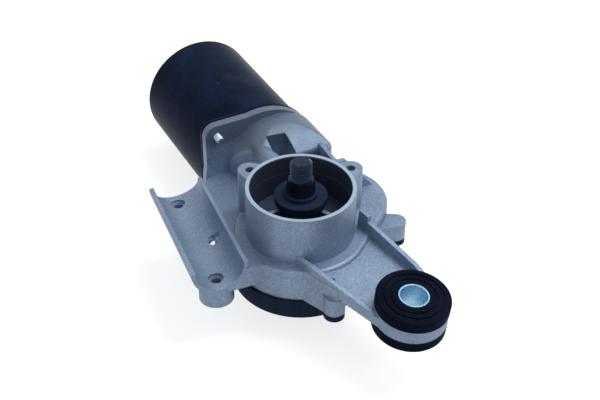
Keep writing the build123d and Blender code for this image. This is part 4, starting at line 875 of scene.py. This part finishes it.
@dataclass
class OutputShaft:
    """The output shaft with its serrated cone and thread, and what turns with it."""

    shank_radius: float = 5.0 * MILLIMETRE
    cone_foot_radius: float = 6.6 * MILLIMETRE
    cone_head_radius: float = 6.0 * MILLIMETRE
    cone_start: float = -2.0 * MILLIMETRE
    cone_end: float = 4.4 * MILLIMETRE
    thread_radius: float = 5.0 * MILLIMETRE
    pitch: float = 1.5 * MILLIMETRE
    thread_depth: float = 0.75 * MILLIMETRE
    chamfer: float = 1.1 * MILLIMETRE
    serrations: int = 40
    serration_depth: float = 0.35 * MILLIMETRE
    looks: dict[str, Look] = field(
        default_factory=lambda: {
            "shaft_cap": Look.CAP,
            "retaining_ring": Look.STEEL,
            "thrust_washer": Look.STEEL,
            "output_gear": Look.ACETAL,
            "contact_disc": Look.COPPER,
        }
    )

    def shaft(self) -> bpy.types.Mesh:
        """Builds shank, cone and thread in one mesh.

        Returns:
            The shaft's mesh.
        """
        low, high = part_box("output_shaft")
        rule = Rule("shaft_rule", {"Pitch": "NodeSocketFloat", "Serrations": "NodeSocketFloat"})
        shank = rule.rod(
            self.shank_radius, self.shank_radius, self.cone_start - low.z, around=48, along=2
        )
        cone = rule.rod(
            self.cone_foot_radius, self.cone_head_radius, self.cone_end - self.cone_start,
            teeth=(self.serration_depth, rule.given("Serrations")), around=6 * self.serrations, along=6,
        )
        thread = rule.rod(
            self.thread_radius, self.thread_radius, high.z - self.cone_end,
            thread=(self.thread_depth, rule.given("Pitch")), chamfer=self.chamfer, around=64, along=110,
        )
        rule.close(
            rule.join(
                [
                    rule.moved(shank, (0.0, 0.0, low.z)),
                    rule.moved(cone, (0.0, 0.0, self.cone_start)),
                    rule.moved(thread, (0.0, 0.0, self.cone_end)),
                ]
            )
        )
        values = {"Pitch": self.pitch, "Serrations": float(self.serrations)}
        values["Material"] = Look.BLACK_STEEL.value.build()
        mesh = rule.run([(0.0, 0.0, 0.0)], values)
        shade(mesh, angle=28.0)
        return mesh

    def build(self) -> None:
        """Builds the shaft and dresses what turns with it."""
        settle(self.shaft(), "threaded_shaft", "output", Look.BLACK_STEEL, ["output_shaft"])
        dress_all(self.looks)


@dataclass
class Screws:
    """A group of equal screws: hexagon head on a washer face, and a threaded shank.

    The shares are parts of the head's radius or height, of the shank's radius or of the pitch.
    """

    name: str
    node: str
    places: list[tuple[float, float, float]]
    direction: Vector
    head_radius: float
    head_height: float
    shank_radius: float
    shank_length: float
    pitch: float = 0.8 * MILLIMETRE
    hexagon_share: float = 0.86
    washer_taper_share: float = 0.97
    washer_height_share: float = 0.3
    head_chamfer_share: float = 0.12
    point_chamfer_share: float = 0.4
    thread_depth_share: float = 0.45
    rows_per_turn: int = 8

    def build(self) -> None:
        """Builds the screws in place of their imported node."""
        rule = Rule(self.name + "_rule", {"Head": "NodeSocketFloat", "Pitch": "NodeSocketFloat"})
        washer = rule.rod(
            self.head_radius, self.head_radius * self.washer_taper_share,
            self.head_height * self.washer_height_share, along=1, around=36,
        )
        head = rule.rod(
            rule.given("Head"), rule.given("Head"), self.head_height,
            chamfer=self.head_radius * self.head_chamfer_share, along=4, around=6,
        )
        shank = rule.rod(
            self.shank_radius, self.shank_radius, self.shank_length,
            thread=(self.pitch * self.thread_depth_share, rule.given("Pitch")),
            chamfer=self.shank_radius * self.point_chamfer_share,
            along=int(self.rows_per_turn * self.shank_length / self.pitch), around=24,
        )
        turned = rule.node(
            "GeometryNodeTransform", inputs={"Geometry": shank, "Rotation": (pi, 0.0, 0.0)}
        )
        screw = rule.join([washer, head, turned])
        rows = rule.node(
            "GeometryNodeInstanceOnPoints",
            inputs={"Points": rule.given("Places"), "Instance": screw},
        )
        rule.close(rows)
        turn = frame_matrix(Vector((0.0, 0.0, 0.0)), self.direction)
        back = turn.inverted()
        values = {"Head": self.head_radius * self.hexagon_share, "Pitch": self.pitch}
        values["Material"] = Look.ZINC.value.build()
        mesh = rule.run([tuple(back @ Vector(place)) for place in self.places], values)
        mesh.transform(turn)
        shade(mesh, angle=30.0)
        settle(mesh, self.name, "housing", Look.ZINC, [self.node])


@dataclass
class MotorCan:
    """The black can, its gasket, its screws and what is fixed inside it."""

    looks: dict[str, Look] = field(
        default_factory=lambda: {
            "motor_can": Look.CAN,
            "can_gasket": Look.GASKET,
            "magnets": Look.FERRITE,
            "magnet_clips": Look.STEEL,
            "rear_bearing": Look.BRONZE,
            "bearing_retainer": Look.STEEL,
            "middle_bush": Look.BRONZE,
            "front_bush": Look.BRONZE,
            "thrust_pad": Look.ACETAL,
            "brush_plate": Look.BOARD,
            "brush_holders": Look.BRASS,
            "carbon_brushes": Look.CARBON,
            "chokes": Look.COPPER,
            "thermal_breaker": Look.STEEL,
        }
    )
    axis: tuple[float, float] = (12.5 * MILLIMETRE, -33.0 * MILLIMETRE)
    screw_head_radius: float = 4.0 * MILLIMETRE
    screw_head_height: float = 2.8 * MILLIMETRE
    screw_shank_radius: float = 2.1 * MILLIMETRE
    spring_start: float = 19.0 * MILLIMETRE
    spring_radius: float = 2.2 * MILLIMETRE
    wire_radius: float = 0.35 * MILLIMETRE
    turns: int = 4

    def screws(self) -> Screws:
        """Gives the two screws that hold the can.

        Returns:
            The screws, not built yet.
        """
        low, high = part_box("can_screws")
        seat = high.y - self.screw_head_height
        middles = [(start + end) / 2 for start, end in solids("can_screws")]
        places = [(middle.x, seat, middle.z) for middle in middles]
        return Screws(
            "can_hex_screws", "can_screws", places, Vector((0.0, 1.0, 0.0)),
            self.screw_head_radius, self.screw_head_height, self.screw_shank_radius, seat - low.y,
        )

    def springs(self) -> bpy.types.Mesh:
        """Winds the coil spring behind each brush.

        Returns:
            The mesh of all the springs.
        """
        low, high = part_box("brush_springs")
        outside = high.x - self.axis[0]
        hub = Vector((self.axis[0], (low.y + high.y) / 2, self.axis[1]))
        rule = Rule("spring_rule", {"Turns": "NodeSocketFloat", "Wire": "NodeSocketFloat"})
        coil = rule.node(
            "GeometryNodeCurveSpiral",
            inputs={
                "Resolution": 20,
                "Rotations": rule.given("Turns"),
                "Start Radius": self.spring_radius,
                "End Radius": self.spring_radius,
                "Height": outside - self.spring_start - 2 * self.wire_radius,
            },
        )
        section = rule.node(
            "GeometryNodeCurvePrimitiveCircle", inputs={"Resolution": 8, "Radius": rule.given("Wire")}
        )
        sweep = {"Curve": coil, "Profile Curve": section, "Fill Caps": True}
        wound = rule.node("GeometryNodeCurveToMesh", inputs=sweep)
        place = rule.node("GeometryNodeInputPosition")
        outward = rule.node(
            "ShaderNodeVectorMath", {"operation": "SUBTRACT"}, {0: place, 1: tuple(hub)}
        )
        turn = rule.node("FunctionNodeAlignRotationToVector", {"axis": "Z"}, {"Vector": outward})
        rows = rule.node(
            "GeometryNodeInstanceOnPoints",
            inputs={"Points": rule.given("Places"), "Instance": wound, "Rotation": turn},
        )
        rule.close(rows)
        headings = [((start + end) / 2 - hub).normalized() for start, end in solids("brush_springs")]
        mesh = rule.run(
            [tuple(hub + heading * (self.spring_start + self.wire_radius)) for heading in headings],
            {
                "Turns": float(self.turns),
                "Wire": self.wire_radius,
                "Material": Look.STEEL.value.build(),
            },
        )
        shade(mesh, angle=60.0)
        return mesh

    def build(self) -> None:
        """Dresses the can and builds its screws and springs."""
        dress_all(self.looks)
        self.screws().build()
        settle(self.springs(), "brush_coil_springs", "housing", Look.STEEL, ["brush_springs"])


@dataclass
class Cover:
    """The plastic cover under the gear chamber, its gasket, screws, contact plate and connector."""

    looks: dict[str, Look] = field(
        default_factory=lambda: {
            "gear_cover": Look.COVER,
            "cover_gasket": Look.GASKET,
            "contact_plate": Look.BOARD,
            "contact_fingers": Look.BRASS,
            "connector_pins": Look.BRASS,
        }
    )
    screw_head_radius: float = 3.1 * MILLIMETRE
    screw_head_height: float = 2.4 * MILLIMETRE
    screw_shank_radius: float = 1.75 * MILLIMETRE

    def screws(self) -> Screws:
        """Gives the four screws that hold the cover from below.

        Returns:
            The screws, not built yet.
        """
        low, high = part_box("cover_screws")
        seat = low.z + self.screw_head_height
        middles = [(start + end) / 2 for start, end in solids("cover_screws")]
        places = [(middle.x, middle.y, seat) for middle in middles]
        return Screws(
            "cover_hex_screws", "cover_screws", places, Vector((0.0, 0.0, -1.0)),
            self.screw_head_radius, self.screw_head_height, self.screw_shank_radius, high.z - seat,
        )

    def build(self) -> None:
        """Dresses the cover and builds its screws."""
        dress_all(self.looks)
        self.screws().build()


@dataclass
class RubberMount:
    """The rubber grommet in the arm's eye and the steel sleeve through it."""

    looks: dict[str, Look] = field(
        default_factory=lambda: {"grommet": Look.RUBBER, "mount_sleeve": Look.SLEEVE}
    )

    def build(self) -> None:
        """Dresses grommet and sleeve."""
        dress_all(self.looks)


@dataclass
class Drive:
    """The armature, the counter gear and the bushes of the output shaft."""

    looks: dict[str, Look] = field(
        default_factory=lambda: {
            "armature_shaft": Look.STEEL,
            "lamination_stack": Look.IRON,
            "windings": Look.COPPER,
            "commutator": Look.COPPER,
            "commutator_core": Look.COVER,
            "counter_gear": Look.ACETAL,
            "counter_pinion": Look.STEEL,
            "counter_pin": Look.STEEL,
            "shaft_bush_upper": Look.BRONZE,
            "shaft_bush_lower": Look.BRONZE,
        }
    )

    def build(self) -> None:
        """Dresses the drive's pieces."""
        dress_all(self.looks)


@dataclass
class Lamp:
    """A square lamp that faces the object."""

    name: str
    place: tuple[float, float, float]
    size: float
    watts: float
    tint: tuple[float, float, float] = (1.0, 1.0, 1.0)
    aim: tuple[float, float, float] = (0.0, 0.03, -0.03)

    def build(self) -> None:
        """Hangs the lamp and turns it to its aim."""
        data = bpy.data.lights.new(self.name, "AREA")
        data.size = self.size
        data.energy = self.watts
        data.color = self.tint
        lamp = bpy.data.objects.new(self.name, data)
        lamp.matrix_world = frame_matrix(Vector(self.place), Vector(self.place) - Vector(self.aim))
        bpy.context.scene.collection.objects.link(lamp)


@dataclass
class Studio:
    """Floor, lamps, world and the camera at the photograph's place.

    Angles are in degrees. Glow is how bright the floor is to the camera itself, and ambient is the
    strength of the world's light on the object.
    """

    camera_place: Vector = field(default_factory=lambda: Vector((-0.18801, -0.34415, 0.30029)))
    azimuth: float = -28.598
    elevation: float = 38.147
    roll: float = -0.613
    lens: float = 66.455
    floor_size: float = 8.0
    floor_gap: float = 0.2 * MILLIMETRE
    floor_light: float = 0.7
    floor_dark: float = 0.68
    glow: float = 0.75
    ambient: float = 0.35
    lamps: tuple[Lamp, ...] = (
        Lamp("key", (0.4, -0.05, 0.85), size=0.55, watts=5.2),
        Lamp("fill", (-0.55, -0.7, 0.5), size=0.6, watts=0.1, tint=(0.92, 0.96, 1.0)),
    )

    def camera(self) -> None:
        """Makes the camera, looking from its azimuth and elevation with its roll."""
        turn, lift = radians(self.azimuth), radians(self.elevation)
        back = Vector((sin(turn) * cos(lift), -cos(turn) * cos(lift), sin(lift)))
        right = (-back).cross(Vector((0.0, 0.0, 1.0))).normalized()
        up = back.cross(right)
        roll = radians(self.roll)
        rolled_right = right * cos(roll) - up * sin(roll)
        rolled_up = right * sin(roll) + up * cos(roll)
        data = bpy.data.cameras.new("camera")
        data.lens = self.lens
        data.sensor_width = 36.0
        data.clip_start = 0.01
        camera = bpy.data.objects.new("camera", data)
        turned = Matrix((rolled_right, rolled_up, back)).transposed().to_4x4()
        camera.matrix_world = Matrix.Translation(self.camera_place) @ turned
        bpy.context.scene.collection.objects.link(camera)
        bpy.context.scene.camera = camera

    def seen(self, graph: Graph) -> Value:
        """Gives 1 where the camera, a reflection or a view through glass sees the surroundings.

        Args:
            graph: the graph that it is written into.

        Returns:
            The value, 1 or 0.
        """
        path = graph.node("ShaderNodeLightPath", output="Is Camera Ray")
        glossy = graph.math("MAXIMUM", path.other("Is Glossy Ray"), path.other("Is Transmission Ray"))
        return graph.math("MAXIMUM", path, glossy)

    def surroundings(self) -> None:
        """Makes the world: white to the camera, a soft grey light on the object."""
        world = bpy.data.worlds.new("studio")
        world.use_nodes = True
        bpy.context.scene.world = world
        graph = Graph(world.node_tree)
        graph.tree.nodes.clear()
        strength = graph.spread(self.seen(graph), self.ambient, 1.0)
        light = graph.node("ShaderNodeBackground", inputs={"Color": grey(1.0), "Strength": strength})
        end = graph.tree.nodes.new("ShaderNodeOutputWorld")
        graph.tree.links.new(light.socket, end.inputs["Surface"])

    def floor(self) -> None:
        """Lays a pale floor under the motor that keeps its shadow."""
        half = self.floor_size / 2
        height = cad_box[0][2] - self.floor_gap
        mesh = bpy.data.meshes.new("floor")
        corners = [(x * half, y * half, height) for x, y in ((-1, -1), (1, -1), (1, 1), (-1, 1))]
        mesh.from_pydata(corners, [], [(0, 1, 2, 3)])
        paint = Paint("floor")
        glow = paint.mix(self.seen(paint), grey(0.0), grey(self.glow))
        tone = paint.mix(paint.noise(3.0), grey(self.floor_light), grey(self.floor_dark))
        paint.finish(
            {"Roughness": 0.9, "Emission Strength": 1.0}, {"Base Color": tone, "Emission Color": glow}
        )
        mesh.materials.append(paint.material)
        piece = bpy.data.objects.new("floor", mesh)
        bpy.context.scene.collection.objects.link(piece)

    def build(self) -> None:
        """Builds the whole studio."""
        self.camera()
        self.surroundings()
        self.floor()
        for lamp in self.lamps:
            lamp.build()
        bpy.context.scene.view_settings.view_transform = "Standard"


def main() -> None:
    """Builds the studio and every sub-assembly in order."""
    logging.basicConfig(level=logging.INFO, format="%(name)s %(message)s")
    for assembly in (Studio(), Casting(), MotorCan(), Cover(), OutputShaft(), Drive(), RubberMount()):
        log.info("building %s", type(assembly).__name__)
        assembly.build()


if __name__ == "__main__":
    main()
